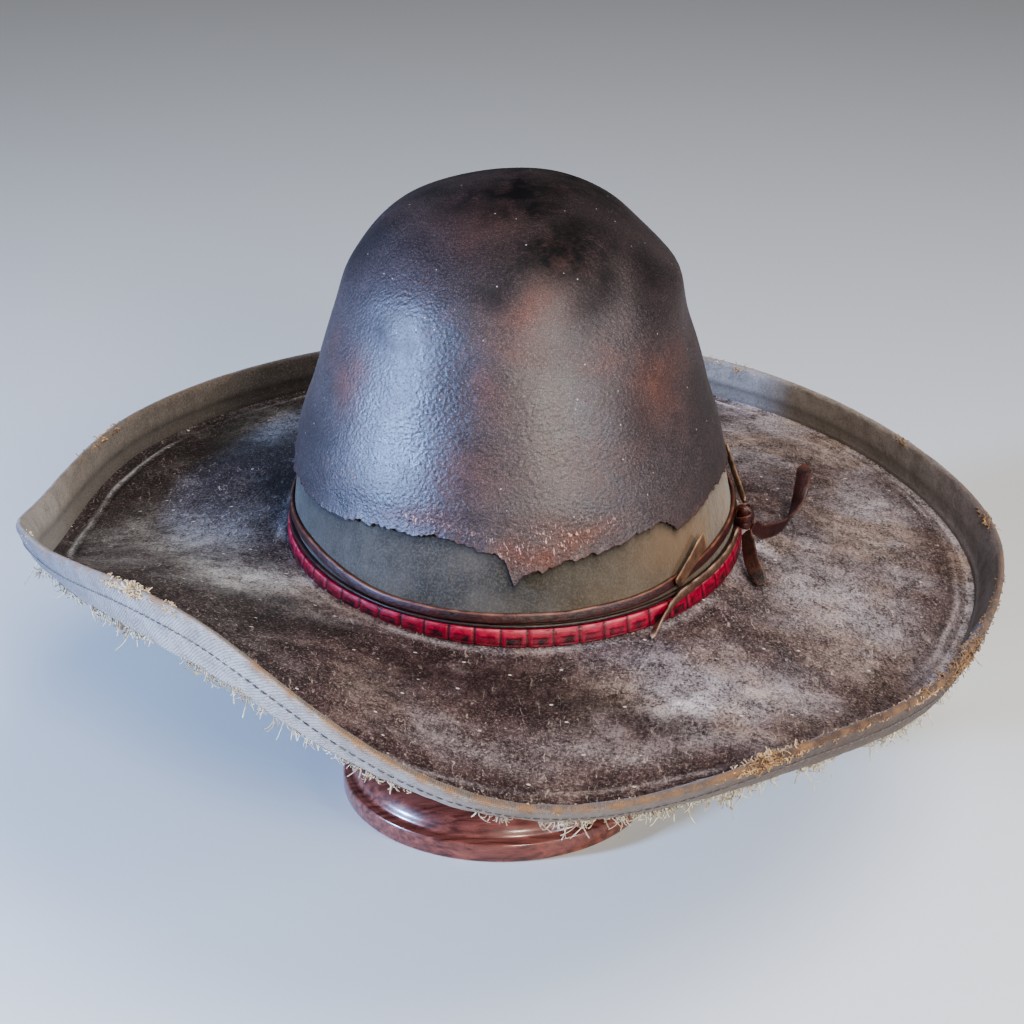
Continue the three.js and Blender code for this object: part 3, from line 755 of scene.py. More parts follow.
def crown_waves(points, azimuth):
    """The uneven set of the old felt."""
    height = points[..., 2] - BRIM_PLANE
    bumps = spots(CROWN_BUMPS, azimuth + 0 * height, height, degrees=True, add=True)
    return (bumps + 0.5 * noise(points, 38, 11) + 0.28 * noise(points, 15, 12)).clip(-1.1, 2.2)


def brim_lumps(turn, row, above, big, small):
    """The brim's unevenness, which fades at the crown and along the lip."""
    flat = brim_shell(turn, row, above)
    fade = smooth_step(np.clip(row, 0, 1) * brim_width(turn), 4, 20) * smooth_step(row, 1.6, 1.0)
    return fade * (big * noise(flat, 30, 21) + small * noise(flat, 9, 22))


def make_felt(finish):
    """Crown and brim in one wall of felt, open below."""
    azimuth = full_turn(FELT_STEPS)
    crown_rows = np.concatenate([[0.9999], np.linspace(0.97, row_at_height(4), 26)])
    brim_rows = np.concatenate([
        np.linspace(0, 0.93, 84), np.linspace(0.935, 0.995, 14), np.linspace(1, 2, 12),
        np.linspace(2.12, 3, 6)])
    under_rows = np.concatenate([np.linspace(3, 2, 5), np.linspace(1.9, 1, 9), np.linspace(0.96, 0.04, 34)])
    crown = crown_point(*grid(azimuth, crown_rows), 0)
    inside = crown_point(*grid(azimuth, crown_rows[::-1][1:]), -FELT)
    turn, row = grid(azimuth, under_rows)
    under = brim_shell(turn, row, brim_lumps(turn, row, -FELT, 0.5, 0.2) - FELT)
    turn, row = grid(azimuth, brim_rows)
    from_crease = brim_width(turn) - np.clip(row, 0, 1) * brim_width(turn)
    from_crease = from_crease + 0.9 * round_noise(turn, 16, 24, CREASE_ROUND)
    strength = np.clip(0.5 + 0.8 * round_noise(turn, 26, 25, CREASE_ROUND), 0.08, 1.1)
    strength = strength * around(BRIM_CREASE, turn)
    ridge = 0.5 * strength * hump(from_crease, 3.4, 1.1) * (row <= 1)
    crack = strength * hump(from_crease, 6.2, 0.8) * (row <= 1)
    brim = brim_shell(turn, row, brim_lumps(turn, row, 0, 0.55, 0.22) + ridge - 0.25 * crack)
    points = np.concatenate([crown, brim, under, inside], axis=1)
    upper = slice(crown.shape[1], crown.shape[1] + brim.shape[1])
    # Painted light: pale blue-grey colour on the bend at the right, where the lip's inner face looks lit
    bend_painted_light = around(BRIM_BEND_PAINTED_LIGHT, azimuth)[:, None]
    x, y = points[..., 0], points[..., 1]
    spot_x = x + 7 * noise(points, 20, 26) + 3 * noise(points, 7, 27)
    spot_y = y + 7 * noise(points, 20, 28) + 3 * noise(points, 7, 29)
    # Dark holds dark felt and a painted shadow left of the crown; dust also holds painted light on the
    # right half
    dark, dust_and_light = spots(BRIM_DARK_AND_SHADOW, spot_x, spot_y), spots(BRIM_DUST_AND_LIGHT, spot_x, spot_y)
    # Painted shade in the crack before the bend
    dark[:, upper] = np.maximum(dark[:, upper], 0.85 * crack)
    dust_and_light[:, upper] += np.clip(ridge * 1.4, 0, 0.7)
    dust_and_light[:, upper] += smooth_step(brim_rows, 0.93, 1.1)[None] * bend_painted_light
    foot_noise = 0.6 + noise(points[:, upper], 12, 23)
    dust_and_light[:, upper] += 0.5 * hump(brim_rows * BRIM_WIDTH, 6, 2.2)[None] * foot_noise
    values = {
        "dust_and_light": np.clip(dust_and_light, 0, 1), "maroon": spots(BRIM_MAROON, spot_x, spot_y), "dark": dark,
        "rings": 0.5 + 0.5 * np.sin(np.hypot(x - 30, y * 0.86) / 3.1) * smooth_step(x, 90, 130),
        "grey": smooth_step(-spot_x, 48, 96),
    }
    piece = add_grid("brim_felt", points, finish, values, flip=True)
    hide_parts("felt_body")


def torn_edge(azimuth):
    """The cover's lower edge with its small scallops and nicks."""
    scallops = np.abs(round_noise(azimuth, 4.5, 31)) * 1.8 - 0.6
    nicks = 0.8 * round_noise(azimuth, 1.4, 32) + 1.3 * round_noise(azimuth, 14, 33)
    away = (azimuth - 270 + 180) % 360 - 180
    spike = 1.8 * hump(away, 4.5, 2.2) + 1.2 * hump(away, -2.6, 1.4) - 2.6 * hump(away, -0.2, 0.8)
    return torn_height(azimuth) + 0.85 * scallops + nicks + spike


def make_cover(finish):
    """The waxed cover, which hugs the felt and laps over the cloth band down to its torn edge."""
    azimuth = full_turn(COVER_STEPS)
    dome_rows = COVER_DOME + (0.9995 - COVER_DOME) * np.linspace(0, 1, 56) ** 0.95
    edge = torn_edge(azimuth)[:, None]
    turn, share = grid(azimuth, np.linspace(1, 0.03, 30))
    height = edge + (COVER_LAP_TOP - edge) * (1 - share)
    from_edge = height - edge
    curl = np.clip(0.2 + 0.6 * round_noise(azimuth, 9, 34) + 0.25 * round_noise(azimuth, 3.2, 35), 0, 0.9)
    lap_flat = wall_point(turn, height, 0 * height)
    puckers = (0.2 * noise(lap_flat, 9, 36) + 0.04 * noise(lap_flat, 2.5, 37)) * np.exp(-from_edge / 9)
    puckers = puckers.clip(-0.3, 0.6)
    lifted = curl[:, None] * np.exp(-from_edge / 1.3)
    over = OVER_CLOTH + 0.15
    swell = crown_waves(lap_flat, turn) * smooth_step(height, 30, 60)
    outer = wall_point(turn, height, over + COVER + lifted + puckers + swell)
    hem = slice(COVER_HEM_ROWS)
    under = (over + lifted + puckers)[:, hem] + 0.2
    inner = wall_point(turn[:, hem], height[:, hem] + 0.15, under)
    turn, row = grid(azimuth, dome_rows)
    bare = crown_surface(turn, row)
    rise = bare[..., 2] - BRIM_PLANE
    hug = smooth_step(rise, 62, 41) * (OVER_CLOTH - GAP + 0.15)
    dome = crown_point(turn, row, GAP + COVER + hug + crown_waves(bare, turn) * smooth_step(rise, 30, 60))
    points = np.concatenate([inner[:, ::-1], outer[:, :-1], dome], axis=1)
    angle = np.broadcast_to(azimuth[:, None], points.shape[:2])
    rise = points[..., 2] - BRIM_PLANE
    near_edge = np.exp(-np.clip(rise - edge, 0, 50) / 1.1)
    spot_angle = angle + 6 * noise(points, 17, 40)
    spot_rise = rise + 5 * noise(points, 15, 42) + 2 * noise(points, 6, 43)
    values = {
        "rust": spots(COVER_RUST, spot_angle, spot_rise, True),
        "dark": spots(COVER_DARK, spot_angle, spot_rise, True),
        "shine": spots(COVER_SHINE, spot_angle, spot_rise, True),
        "edge": np.clip(near_edge * (0.5 + 0.5 * noise(points, 6, 39)), 0, 1),
        "stitched": np.clip(1.3 * spots(COVER_SEWN, angle, rise, True), 0, 1),
    }
    piece = add_grid("crown", points, finish, values)
    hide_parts("crown_cover")


def band_grid(azimuth, heights, outs):
    """Points round the wall at rows of height and distance out, each row given for every azimuth."""
    turn = np.broadcast_to(azimuth[:, None], heights.shape)
    return wall_point(turn, heights, outs)


def make_cloth(finish):
    azimuth = full_turn(BAND_STEPS)
    bottom = brim_rise(azimuth, 1.3) + GAP
    share = np.concatenate([[0.02, 0], np.linspace(0, 1, CLOTH_ROWS), [1, 0.98]])
    inside = np.concatenate([[1, 1], np.zeros(CLOTH_ROWS), [1, 1]])
    height = bottom[:, None] + (CLOTH_BAND - bottom[:, None]) * share
    flat = band_grid(azimuth, height, 0 * height)
    worn = 0.28 * noise(flat * [1, 1, 0.7], 13, 41) * (1 - inside) * smooth_step(share, 0, 0.3)
    outs = np.where(inside > 0, GAP, GAP + CLOTH) + worn.clip(-0.2, 0.25)
    points = band_grid(azimuth, height, outs)
    angle = np.broadcast_to(azimuth[:, None], height.shape)
    # Painted shadow on the cloth just under the cover's torn edge
    below = np.clip(torn_edge(azimuth)[:, None] - height, 0, 40)
    painted_shadow = 0.9 * np.exp(-below / 0.8) + 0.4 * np.exp(-below / 3)
    values = {
        "tan": np.clip(spots(CLOTH_TAN, angle, height, True), 0, 1),
        "dark": np.clip(painted_shadow + spots(CLOTH_DARK, angle, height, True), 0, 1),
    }
    piece = add_grid("cloth", points, finish, values)
    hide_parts("cloth_band")
    return piece


def make_red_band(finish):
    """Leather pressed into a row of scales, each with a dark window between its seams."""
    azimuth = full_turn(BAND_STEPS)
    scale = ((azimuth / 360 * SCALES + 0.5) % 1)[:, None]
    bottom = brim_rise(azimuth, 3.2) + GAP + 0.1
    share = np.concatenate([[0, 0.0], np.linspace(0, 1, RED_ROWS), [1, 1]])
    outside = np.concatenate([[0, 0.6], np.ones(RED_ROWS), [0.6, 0]])
    height = bottom[:, None] + (RED_BAND - bottom[:, None]) * share
    seam = hump(np.minimum(scale, 1 - scale) * 10.4, 0, 0.55)
    rims = hump(share, 0.08, 0.07) + hump(share, 0.9, 0.07)
    domed = 0.22 * np.sin(np.pi * scale) ** 0.35 * np.sin(np.pi * share) ** 0.4
    window = smooth_step(np.abs(scale - 0.5), 0.31, 0.25) * smooth_step(np.abs(share - 0.3), 0.25, 0.19)
    relief = (domed - 0.4 * seam - 0.15 * rims - 0.14 * window) * (outside >= 1)
    points = band_grid(azimuth, height, OVER_CLOTH + RED_LEATHER * outside + relief)
    rough = noise(points, 2.2, 51)
    hatch = 0.5 + 0.5 * np.sin(scale * 42 + share * 26)
    mark = window * np.clip(0.62 + 0.6 * rough - 0.3 * hatch, 0, 1)
    values = {
        "scorch": np.clip(0.9 * seam + mark + 0.2 * rims + 0.25 * (share < 0.5), 0, 1),
        # Worn is a painted glint: a pale pink line along the band's top edge
        "worn": np.clip(hump(share, 0.93, 0.05) * (0.7 + 0.9 * rough), 0, 1) * (1 - seam),
    }
    piece = add_grid("red_scales", points, finish, values)
    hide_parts("red_band")


def lace_rise(azimuth):
    return FLAT_LACE * np.maximum(around(LACE_RISE, azimuth), 0)


def make_lace(name, node, width, bottom, finish, seed):
    """A lace round the band with rounded edges. Its bottom is given at every step round."""
    azimuth = full_turn(BAND_STEPS)
    turn = np.arange(LACE_SECTION) / LACE_SECTION * 2 * np.pi
    up = 0.5 + 0.5 * squared(np.sin(turn), 0.6)
    out = 0.5 - 0.5 * squared(np.cos(turn), 0.35)
    wander = 0.16 * round_noise(azimuth, 8, seed)[:, None] * width / FLAT_LACE
    swell = 0.12 * round_noise(azimuth, 5, seed + 1)[:, None].clip(0)
    height = bottom[:, None] + wander + width * up
    points = band_grid(azimuth, height, OVER_CLOTH + 0.02 + LACE_LEATHER * out + swell)
    # Painted shade: a dark line along the middle of the face, between the strands, and darkening along the
    # lace's lower edge
    strand_gap_shade = hump(up, 0.45, 0.16) * (out > 0.6)
    edge = smooth_step(up, 0.82, 0.97) * (out > 0.3)
    fleck = 0.6 + 0.6 * noise(points, 3, seed + 2)
    values = {
        "edge": np.clip(edge * fleck, 0, 1),
        "dark": np.clip(0.5 * strand_gap_shade + smooth_step(up, 0.12, 0), 0, 1),
    }
    piece = add_grid(name, points, finish, values, closed_rows=True, flip=True)
    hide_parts(node)


# The binding's rows across: the inner face with its hidden hem, the fold over the lip and the outer face
INNER_ROWS = 12
FOLD_ROWS = 5
OUTER_ROWS = 16
# How the binding is worn and frayed, with its painted light and shade, every 30 degrees round the lip
BINDING_RUBBED = [0.5, 0.3, 0.25, 0.2, 0.25, 0.4, 0.35, 0.55, 0.8, 0.8, 0.75, 0.6]
BINDING_TAN = [0.8, 0.3, 0.1, 0.1, 0.1, 0.1, 0.1, 0.03, 0.08, 0.65, 1, 1]
# Painted bluish light: the key light's tint on the outer face at the left, and light on the inner face at
# the right
BINDING_BLUE_LIGHT_OUTSIDE = [0.1, 0, 0, 0, 0, 0.05, 0.15, 0.2, 0.05, 0, 0, 0]
BINDING_BLUE_LIGHT_INSIDE = [0.65, 0.15, 0, 0, 0, 0, 0, 0, 0, 0, 0, 0.5]
BINDING_PALE_OUTSIDE = [0.35, 0.45, 0.45, 0.45, 0.42, 0.3, 0.12, 0.15, 0.75, 1, 0.4, 0.25]
# The inner face's pale share is high at the right partly as painted light
BINDING_PALE_INSIDE = [0.85, 0.65, 0.45, 0.28, 0.15, 0.25, 0.46, 0.46, 0.32, 0.37, 0.6, 0.8]
# Painted shade low on the inner face, just above the bend
BINDING_INNER_SHADE = [0.25, 0.5, 0.7, 0.8, 0.9, 0.9, 0.8, 0.6, 0.3, 0.2, 0.2, 0.2]
FRAY_DENSITY = [0.25, 0.2, 0.2, 0.2, 0.25, 0.35, 0.7, 1, 0.8, 0.9, 1, 0.55]
FRAY_LENGTH = [1, 0.8, 0.8, 0.8, 0.8, 0.9, 0.9, 1, 0.9, 1.1, 1.25, 1.1]


def make_binding(finish):
    """The ribbon folded over the lip, frayed along its lower edge outside."""
    azimuth = full_turn(BINDING_STEPS)
    frayed = 1.45 + 0.14 * round_noise(azimuth, 9, 61, LIP_ROUND)
    frayed = frayed + 0.1 * round_noise(azimuth, 3, 62, LIP_ROUND)
    frayed = frayed + 0.12 * round_noise(azimuth, 40, 63, LIP_ROUND)
    edge = frayed[:, None]
    inside = np.concatenate([[1.42, 1.5], np.linspace(1.62, 3, INNER_ROWS - 2)])
    rows = np.concatenate([
        inside + 0 * edge, 3 + 0 * edge * np.ones(FOLD_ROWS),
        3 + (edge - 3) * np.linspace(0, 1, OUTER_ROWS), edge + np.array([0.02, 0.1])], axis=1)
    count = rows.shape[1]
    fold = slice(INNER_ROWS, INNER_ROWS + FOLD_ROWS)
    outer_face = slice(fold.stop, fold.stop + OUTER_ROWS)
    row = np.arange(count)
    turn = np.broadcast_to(azimuth[:, None], rows.shape)
    half = FELT / 2 + GAP + RIBBON
    round_over = np.pi * np.arange(1, FOLD_ROWS + 1) / (FOLD_ROWS + 1)
    above = np.concatenate([
        [0.15, 0.7], np.full(INNER_ROWS - 2, GAP + RIBBON), -FELT / 2 + half * np.cos(round_over),
        np.full(OUTER_ROWS, -FELT - GAP - RIBBON), [-FELT - GAP, -FELT - 0.1]])
    pinch = smooth_step(row, 5, 14) * smooth_step(row, 24, 14)
    above = above + pinch * (-FELT / 2 - above) * 0.42
    past = np.zeros(count)
    past[fold] = half * np.sin(round_over) * 0.75
    wrinkle = round_noise(turn, 2.6, 64, LIP_ROUND, 4 * rows)
    lumps = round_noise(turn, 9, 65, LIP_ROUND, 9 * rows)
    calm = np.ones(count)
    calm[[0, 1, -2, -1]] = 0
    calm[fold] = 0.6
    sway = np.where(row < INNER_ROWS, 1, -1) * (0.18 * wrinkle + 0.22 * lumps) * calm
    points = brim_shell(turn, rows + past, above + sway)
    outer = (row >= 15) * 1.0
    top = np.zeros(count)
    top[12:19] = [0.3, 0.7, 1, 1, 0.8, 0.5, 0.2]
    fleck = smooth_step(round_noise(turn, 2.5, 66, LIP_ROUND, 6 * rows), -0.7, 0.9)
    # Painted shade low on the lip's inner face, in the corner just above the bend
    low = np.interp(rows, [1.6, 2.1, 2.22, 2.36, 2.5], [0.7, 0.6, 1, 0.35, 0]) * (1 - outer)
    hem = np.zeros(rows.shape)
    hem[:, outer_face] = np.exp(-np.linspace(1, 0, OUTER_ROWS) * 9)
    pale = np.where(outer > 0, around(BINDING_PALE_OUTSIDE, turn), around(BINDING_PALE_INSIDE, turn))
    # Painted bluish light: the key light's tint on the outer face at the left, and light on the inner face
    # at the right
    blue = around(BINDING_BLUE_LIGHT_OUTSIDE, turn) * outer + around(BINDING_BLUE_LIGHT_INSIDE, turn) * (1 - outer)
    values = {
        "outside": outer, "pale": pale, "blue": np.clip(blue, 0, 1),
        "tan": around(BINDING_TAN, turn) * (0.35 + 0.6 * smooth_step(row, 10, 13)),
        "worn": np.clip(top * fleck * around(BINDING_RUBBED, turn), 0, 1), "frayed": hem * 0.8,
        "under": low * around(BINDING_INNER_SHADE, turn),
    }
    piece = add_grid("binding", points, finish, values, flip=True,
                     round_length=1230, row_places=row * 1.25)
    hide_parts("brim_binding")
    return piece, frayed


def make_stitches(finish):
    """Dashes of thread round the binding, a third of the way down outside."""
    azimuth = full_turn(STITCHES)
    turn = azimuth[:, None] + np.linspace(-0.36, 0.36, 4) * 360 / STITCHES
    place = 2.52 + 0.03 * round_noise(turn, 30, 71, LIP_ROUND)
    above = -FELT - GAP - RIBBON - np.array([0.05, 0.2, 0.2, 0.05]) - 0.02
    lines = brim_shell(turn, place, np.broadcast_to(above, turn.shape))
    radii = np.broadcast_to([0.16, 0.24, 0.24, 0.16], turn.shape)
    points, faces = joined_strands(lines, radii, 6)
    return add_mesh("stitches", points, faces, finish)


def stray(count, steps, seed, sway):
    """Random wanderings that start at nothing, one for each strand."""
    kicks = np.random.default_rng(seed).normal(0, 1, (count, steps, 3))
    bend = np.cumsum(kicks, axis=1)
    return sway * (np.cumsum(bend, axis=1) - bend[:, :1])


def curled_lines(start, direction, length, bend, steps, chance):
    """Threads that leave their start and bend round to one side, each by its own angle."""
    aside = unit(np.cross(direction, chance.normal(0, 1, direction.shape)))[:, None]
    share = np.linspace(0, 1, steps)[None, :, None]
    swing = np.maximum(bend, 0.05)[:, None, None]
    forward = np.sin(swing * share) / swing
    sideways = (1 - np.cos(swing * share)) / swing
    return start[:, None] + length[:, None, None] * (direction[:, None] * forward + aside * sideways)


def make_fray(frayed, finish):
    """Loose threads along the binding's lower edge."""
    chance = np.random.default_rng(81)
    picks = chance.uniform(0, 360, FRAY_THREADS)
    kept = picks[chance.uniform(0, 1, len(picks)) < around(FRAY_DENSITY, picks) * 0.55]
    kept = kept[round_noise(kept, 7, 82, LIP_ROUND) > -0.35]
    steps = FRAY_STEPS
    length = (chance.gamma(2.4, 0.95, len(kept)) * around(FRAY_LENGTH, kept)).clip(0.8, 6.5)
    length = length * (1 + 0.5 * round_noise(kept, 6, 84, LIP_ROUND))
    start_place = np.interp(kept, full_turn(BINDING_STEPS), frayed, period=360)
    start_place = start_place + chance.uniform(0.02, 0.4, len(kept))
    above = np.full(len(kept), -FELT - GAP - RIBBON - 0.1)
    start = brim_shell(kept, start_place, above)
    down = unit(brim_shell(kept, 2 + 0 * kept, above) - brim_shell(kept, 3 + 0 * kept, above))
    outwards = level_out(kept, 0 * kept)
    lean = chance.uniform(0, 0.6, len(kept))[:, None]
    side = np.cross(outwards, [0, 0, 1.0]) * chance.normal(0, 0.4, len(kept))[:, None]
    direction = unit(np.array([0, 0, -1.0]) + down * 0.25 + outwards * lean + side)
    bend = chance.gamma(2, 0.75, len(kept)).clip(0.1, 4)
    lines = curled_lines(start, direction, length, bend, steps, chance)
    lines = lines + stray(len(kept), steps, 83, 0.05) * length[:, None, None] / 3
    radii = np.linspace(0.3, 0.22, steps)[None] * chance.uniform(0.6, 1.2, len(kept))[:, None]
    points, faces = joined_strands(lines, radii, 3)
    return add_mesh("fray", points, faces, finish)


# Worn-through places on the lip's top, by colour, with the seed of each. A clump is given as azimuth,
# half width in degrees, threads and length in mm.
TUFTS = {
    "tan": (200, [
        (159, 4, 340, 2.3), (293.5, 3.2, 1100, 3), (318, 2.4, 220, 2.4), (57, 1.6, 160, 2.2),
        (61.5, 1.6, 140, 2), (308, 9, 160, 1.7), (100, 6, 120, 1.6), (272, 10, 130, 1.6),
        (3.5, 2.4, 160, 2.4)]),
    "brown": (400, [
        (329, 4.2, 1100, 3.2), (323, 4, 600, 2.8), (336, 5, 340, 2.4), (3.5, 3, 160, 2.2),
        (25.5, 2, 150, 2.4), (303, 10, 220, 1.7), (345, 8, 160, 1.8), (160, 6, 160, 1.8)]),
    "cream": (700, [
        (231.5, 1.9, 800, 2.8), (228, 1.6, 200, 2.2), (236.5, 1.4, 140, 2), (206, 2.2, 90, 1.8)]),
}


def make_tufts(name, table, finish, seed):
    """Clumps of short curled threads where the lip has worn through."""
    chance = np.random.default_rng(seed)
    lines, radii = [], []
    steps = TUFT_STEPS
    for azimuth, half, count, length in table:
        turn = chance.normal(azimuth, half * 0.5, count)
        turn = turn + 0.35 * half * round_noise(turn, 3, seed, LIP_ROUND)
        across = chance.uniform(-1.6, 1.6, count)
        start = brim_shell(turn, 3 + 0.5 - 0.12 * across ** 2, across - FELT / 2)
        outwards = level_out(turn, 0 * turn)
        random = chance.normal(0, 1, (count, 3)) * [1, 1, 0.45]
        direction = unit(random + outwards * 0.35 + [0, 0, 0.35])
        long = chance.gamma(3, length / 5, count).clip(0.6, 1.4 * length)
        start = start - direction * 0.3
        bend = chance.uniform(0.8, 4.4, count)
        lines.append(curled_lines(start, direction, long, bend, steps, chance))
        radii.append(np.broadcast_to(np.linspace(0.27, 0.22, steps), (count, steps)))
    points, faces = joined_strands(np.concatenate(lines), np.concatenate(radii), 3)
    add_mesh(name, points, faces, finish)


def beside_knot(distance, out, height):
    """A point beside the knot: distance along the band, out from the wall and above the brim."""
    foot = np.array(0.0)
    before, after = (crown_surface(np.array(KNOT_AZIMUTH + turn), foot) for turn in (-0.5, 0.5))
    azimuth = KNOT_AZIMUTH + np.asarray(distance, float) / np.linalg.norm(after - before)
    out = np.asarray(out, float)
    point = wall_point(azimuth, np.asarray(height, float), out)
    point[..., 2] += brim_rise(azimuth, out)
    return point, level_out(azimuth, 0 * azimuth)


def make_tail(name, rows, finish, seed):
    """A free tail of the lace with rounded edges, creased and thinned towards its ends."""
    steps = 18 * (len(rows) - 1)
    share = np.linspace(0, 1, steps + 1)
    distance, out, height, lean, width = (along(column, share) for column in zip(*rows))
    middle, outwards = beside_knot(distance * KNOT, out * KNOT, height * KNOT)
    direction = unit(np.gradient(middle, axis=0))
    lean = np.radians(lean)[:, None]
    across = np.array([0, 0, 1.0]) * np.cos(lean) + outwards * np.sin(lean)
    across = unit(across - direction * np.sum(across * direction, axis=-1, keepdims=True))
    through = np.cross(direction, across)
    ends = (smooth_step(share, 0, 0.02) * smooth_step(share, 1, 0.97) * 0.85 + 0.15)[:, None]
    half = (width * TAIL_WIDTH / 2 * (1 + 0.08 * noise(middle, 4, seed)))[:, None] * ends
    turn = np.arange(TAIL_SECTION) / TAIL_SECTION * 2 * np.pi
    side, face = squared(np.cos(turn), 0.55), squared(np.sin(turn), 0.75)
    cup = 0.35 * (side ** 2 - 0.5)
    thick = TAIL_LEATHER / 2 * (0.75 + 0.25 * ends)
    offset = face * thick + cup * ends + 0.14 * noise(middle, 2.4, seed + 1)[:, None]
    points = middle[:, None] + across[:, None] * (side * half)[..., None]
    points = points + through[:, None] * offset[..., None]
    fleck = 0.5 + 0.7 * noise(points, 3, seed + 2)
    tip = smooth_step(share, 0.94, 1)[:, None] * 0.7
    values = {
        "edge": np.clip(smooth_step(np.abs(side), 0.86, 1) * fleck + tip, 0, 1),
        "dark": 0.7 * smooth_step(noise(points * [1, 1, 0.5], 3.4, seed + 3), 0.3, 0.7),
    }
    piece = add_grid(name + "_leather", points, finish, values, closed_rows=True, closed_round=False,
                     capped=True)
    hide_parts(name)


def make_knot(finish):
    """Turns of the lace wound round each other, over the crossing in their middle."""
    height = FLAT_LACE_BOTTOM + float(lace_rise(KNOT_AZIMUTH)) + FLAT_LACE / 2
    reach = OVER_CLOTH + LACE_LEATHER + GAP + KNOT * KNOT_FLATNESS / 2
    middle, outwards = beside_knot(0, reach, height)
    aside = np.cross([0, 0, 1.0], outwards)
    axes = np.stack([outwards * KNOT_FLATNESS, aside, [0, 0, 1.25]])
    steps, section = KNOT_STEPS, LACE_SECTION
    turn = np.arange(steps) / steps * 2 * np.pi
    turn_across = np.arange(section) / section * 2 * np.pi
    side, face = squared(np.cos(turn_across), 0.6), squared(np.sin(turn_across), 0.8)
    quads = grid_quads(steps, section, True, True)[0]
    points, faces = [], []
    for index, (shift, half, tilt, swing, radius) in enumerate(KNOT_TURNS):
        tilt, swing = math.radians(tilt), math.radians(swing)
        level = math.sin(tilt)
        axis = np.array([level * math.cos(swing), level * math.sin(swing), math.cos(tilt)])
        first = unit(np.cross(axis, [0.2, 1, 0.1]))
        second = np.cross(axis, first)
        radial = first * np.cos(turn)[:, None] + second * np.sin(turn)[:, None]
        crumple = 0.04 * np.sin(3 * turn + shift * 9)[:, None, None]
        body = radial[:, None] * (radius - 0.12 + 0.12 * face[None, :, None] + crumple)
        loop = body + axis * (shift + half * side[None, :, None])
        points.append(loop.reshape(-1, 3) @ axes * (KNOT / 2) + middle)
        faces += (quads[:, ::-1] + index * steps * section).tolist()
    points = np.concatenate(points)
    edge = np.tile(smooth_step(np.abs(side), 0.85, 1), steps * len(KNOT_TURNS))
    values = {
        "edge": np.clip(edge * (0.5 + 0.7 * noise(points, 3, 91)), 0, 1),
        "dark": smooth_step(noise(points, 2.6, 92), 0.1, 0.6) * 0.6,
    }
    piece = add_mesh("knot_wraps", points, faces, finish, None, values)
    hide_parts("lace_knot")


def on_lathe(profile):
    """Points turned on a lathe from radii and heights."""
    radii, heights = np.transpose(np.asarray(profile, float))
    turn = np.radians(full_turn(STAND_STEPS))[:, None]
    return np.stack([radii * np.cos(turn), radii * np.sin(turn), heights + 0 * turn], axis=-1)


def make_stand(finish):
    """The turned base and the hidden post with its head block."""
    radius, height = zip(*BASE_PROFILE)
    share = np.linspace(0, 1, 8 * (len(radius) - 1) + 1)
    radii = along(radius, share) * BASE_RADIUS
    heights = np.maximum(along(height, share) * BASE_HEIGHT, 0)
    low = np.linspace(0, radii[0], 6)[1:-1]
    socket = [(SOCKET_RADIUS, BASE_HEIGHT), (SOCKET_RADIUS, BASE_HEIGHT - 1), (SOCKET_RADIUS, SOCKET_FLOOR),
              (0.01, SOCKET_FLOOR)]
    rim = np.stack([np.append(low, radii), np.append(0 * low, heights)], axis=-1)
    base = on_lathe(np.concatenate([[(0.01, 0)], rim, socket]))
    piece = add_grid("turned_base", base, finish)
    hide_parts("stand_base")
    dome = COVER_DOME + (1 - COVER_DOME) * np.linspace(0.9998, 0.52, 20)
    head = crown_point(*grid(full_turn(STAND_STEPS), dome), -FELT - GAP)
    bottom = crown_point(np.array(0.0), dome[-1], -FELT - GAP)[2]
    posts = [(POST_RADIUS * 1.6, bottom), (POST_RADIUS, bottom), (POST_RADIUS, bottom - 4),
             (POST_RADIUS, BASE_HEIGHT + 4), (POST_RADIUS, BASE_HEIGHT + GAP),
             (SOCKET_RADIUS - GAP, BASE_HEIGHT + GAP), (SOCKET_RADIUS - GAP, SOCKET_FLOOR + GAP),
             (0.01, SOCKET_FLOOR + GAP)]
    points = np.concatenate([head, on_lathe(posts)], axis=1)
    piece = add_grid("head_and_post", points, finish, flip=True)
    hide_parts("stand_post")


# Camera, light and stage

CAMERA_TARGET = (4.6, 0, 121.2)
CAMERA_ELEVATION = 24
CAMERA_DISTANCE = 873
CAMERA_ROLL = 0.6
CAMERA_LENS = 77.98
SENSOR = 36
FLOOR_HALF_WIDTH = 6.0

# Soft lights: azimuth from the camera and elevation in degrees, distance and size in metres, power, colour
LIGHTS = {
    "key_left": (-74, 14, 1.15, 0.17, 32, (0.36, 0.56, 1.0)),
    "fill_right": (52, 20, 1.25, 0.24, 7, (0.75, 0.88, 1.0)),
    "front_soft": (16, 26, 1.4, 0.22, 12, (1.0, 0.92, 0.78)),
    "above": (50, 62, 1.5, 1.0, 18, (1.0, 0.96, 0.93)),
}
SKY_LIGHT = 0.18
SKY_COLOR = (0.92, 0.95, 1.0, 1)


def from_target(azimuth, elevation, distance):
    """A place seen from the target, azimuth 0 being the camera's own side."""
    turn, lift = math.radians(azimuth), math.radians(elevation)
    step = np.array([math.sin(turn) * math.cos(lift), -math.cos(turn) * math.cos(lift), math.sin(lift)])
    return np.array(CAMERA_TARGET) * MM + step * distance, step


def aim(thing, place, back, roll=0.0):
    """Puts a camera or a light at a place, looking against back."""
    thing.rotation_mode = "QUATERNION"
    thing.rotation_quaternion = (-Vector(back)).to_track_quat("-Z", "Y") @ Quaternion((0, 0, 1), roll)
    thing.location = place


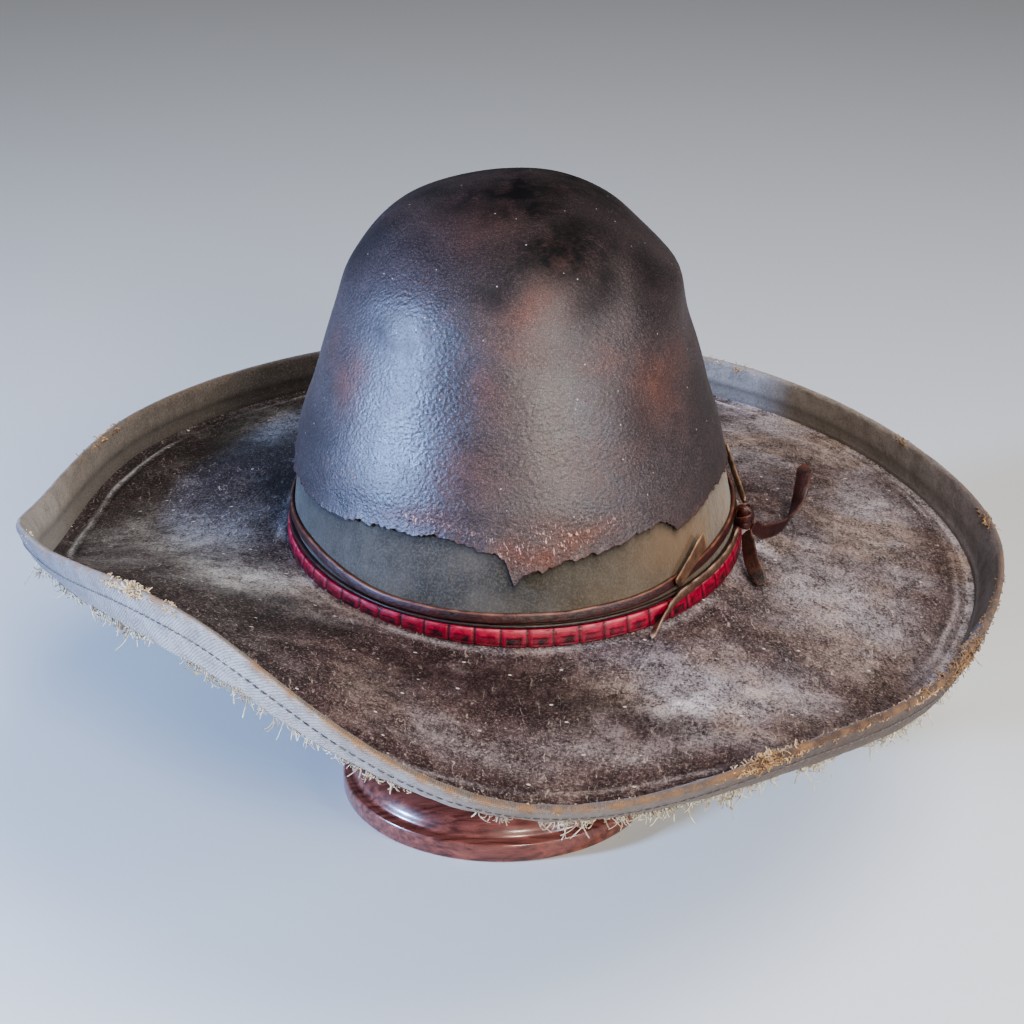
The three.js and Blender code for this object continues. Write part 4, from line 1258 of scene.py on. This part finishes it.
def make_camera():
    data = bpy.data.cameras.new("view")
    data.lens = CAMERA_LENS
    data.sensor_width = SENSOR
    camera = add_object("view", data)
    place, back = from_target(0, CAMERA_ELEVATION, CAMERA_DISTANCE * MM)
    aim(camera, place, back, math.radians(CAMERA_ROLL))
    bpy.context.scene.camera = camera


def make_lights():
    for name, (azimuth, elevation, distance, size, power, color) in LIGHTS.items():
        data = bpy.data.lights.new(name, "AREA")
        data.shape = "DISK"
        data.size = size
        data.energy = power
        data.color = color
        light = add_object(name, data)
        place, back = from_target(azimuth, elevation, distance)
        aim(light, place, back)
    world = bpy.data.worlds.new("studio")
    world.use_nodes = True
    sky = world.node_tree.nodes["Background"]
    sky.inputs["Color"].default_value = SKY_COLOR
    sky.inputs["Strength"].default_value = SKY_LIGHT
    bpy.context.scene.world = world


def make_floor(finish):
    side = FLOOR_HALF_WIDTH
    corners = [(-side, -side, 0), (side, -side, 0), (side, side, 0), (-side, side, 0)]
    mesh = bpy.data.meshes.new("floor")
    mesh.from_pydata(corners, [], [(0, 1, 2, 3)])
    mesh.materials.append(finish)
    floor = add_object("floor", mesh)


make_camera()
make_lights()
bpy.context.scene.view_settings.look = "AgX - Medium High Contrast"
make_floor(stage_finish())

make_felt(felt_finish())
make_cover(cover_finish())
cloth_band = make_cloth(cloth_finish())
make_red_band(red_finish())
leathers = {name: leather_finish(name, *colors) for name, colors in LEATHERS.items()}
flat_lace_rise = lace_rise(full_turn(BAND_STEPS))
thin_lace_bottom = THIN_LACE_BOTTOM + THIN_LACE_RISE * flat_lace_rise
flat_lace_bottom = FLAT_LACE_BOTTOM + flat_lace_rise
make_lace("thin_lace_round", "thin_lace", THIN_LACE, thin_lace_bottom, leathers["dark_leather"],
          101)
make_lace("flat_lace_round", "flat_lace", FLAT_LACE, flat_lace_bottom, leathers["brown_leather"],
          111)
make_knot(leathers["brown_leather"])
for index, (tail, tail_rows) in enumerate(TAILS.items()):
    make_tail(tail, tail_rows, leathers[TAIL_FINISHES[tail]], 121 + 5 * index)
binding, frayed_edge = make_binding(ribbon_finish())
threads = {name: thread_finish(name, *colors) for name, colors in THREADS.items()}
stitches = make_stitches(threads["stitch_thread"])
fray = make_fray(frayed_edge, threads["fray_thread"])
for thread_color, (seed, clumps) in TUFTS.items():
    make_tufts(thread_color + "_tufts", clumps, threads[thread_color + "_thread"], seed)
make_stand(wood_finish())
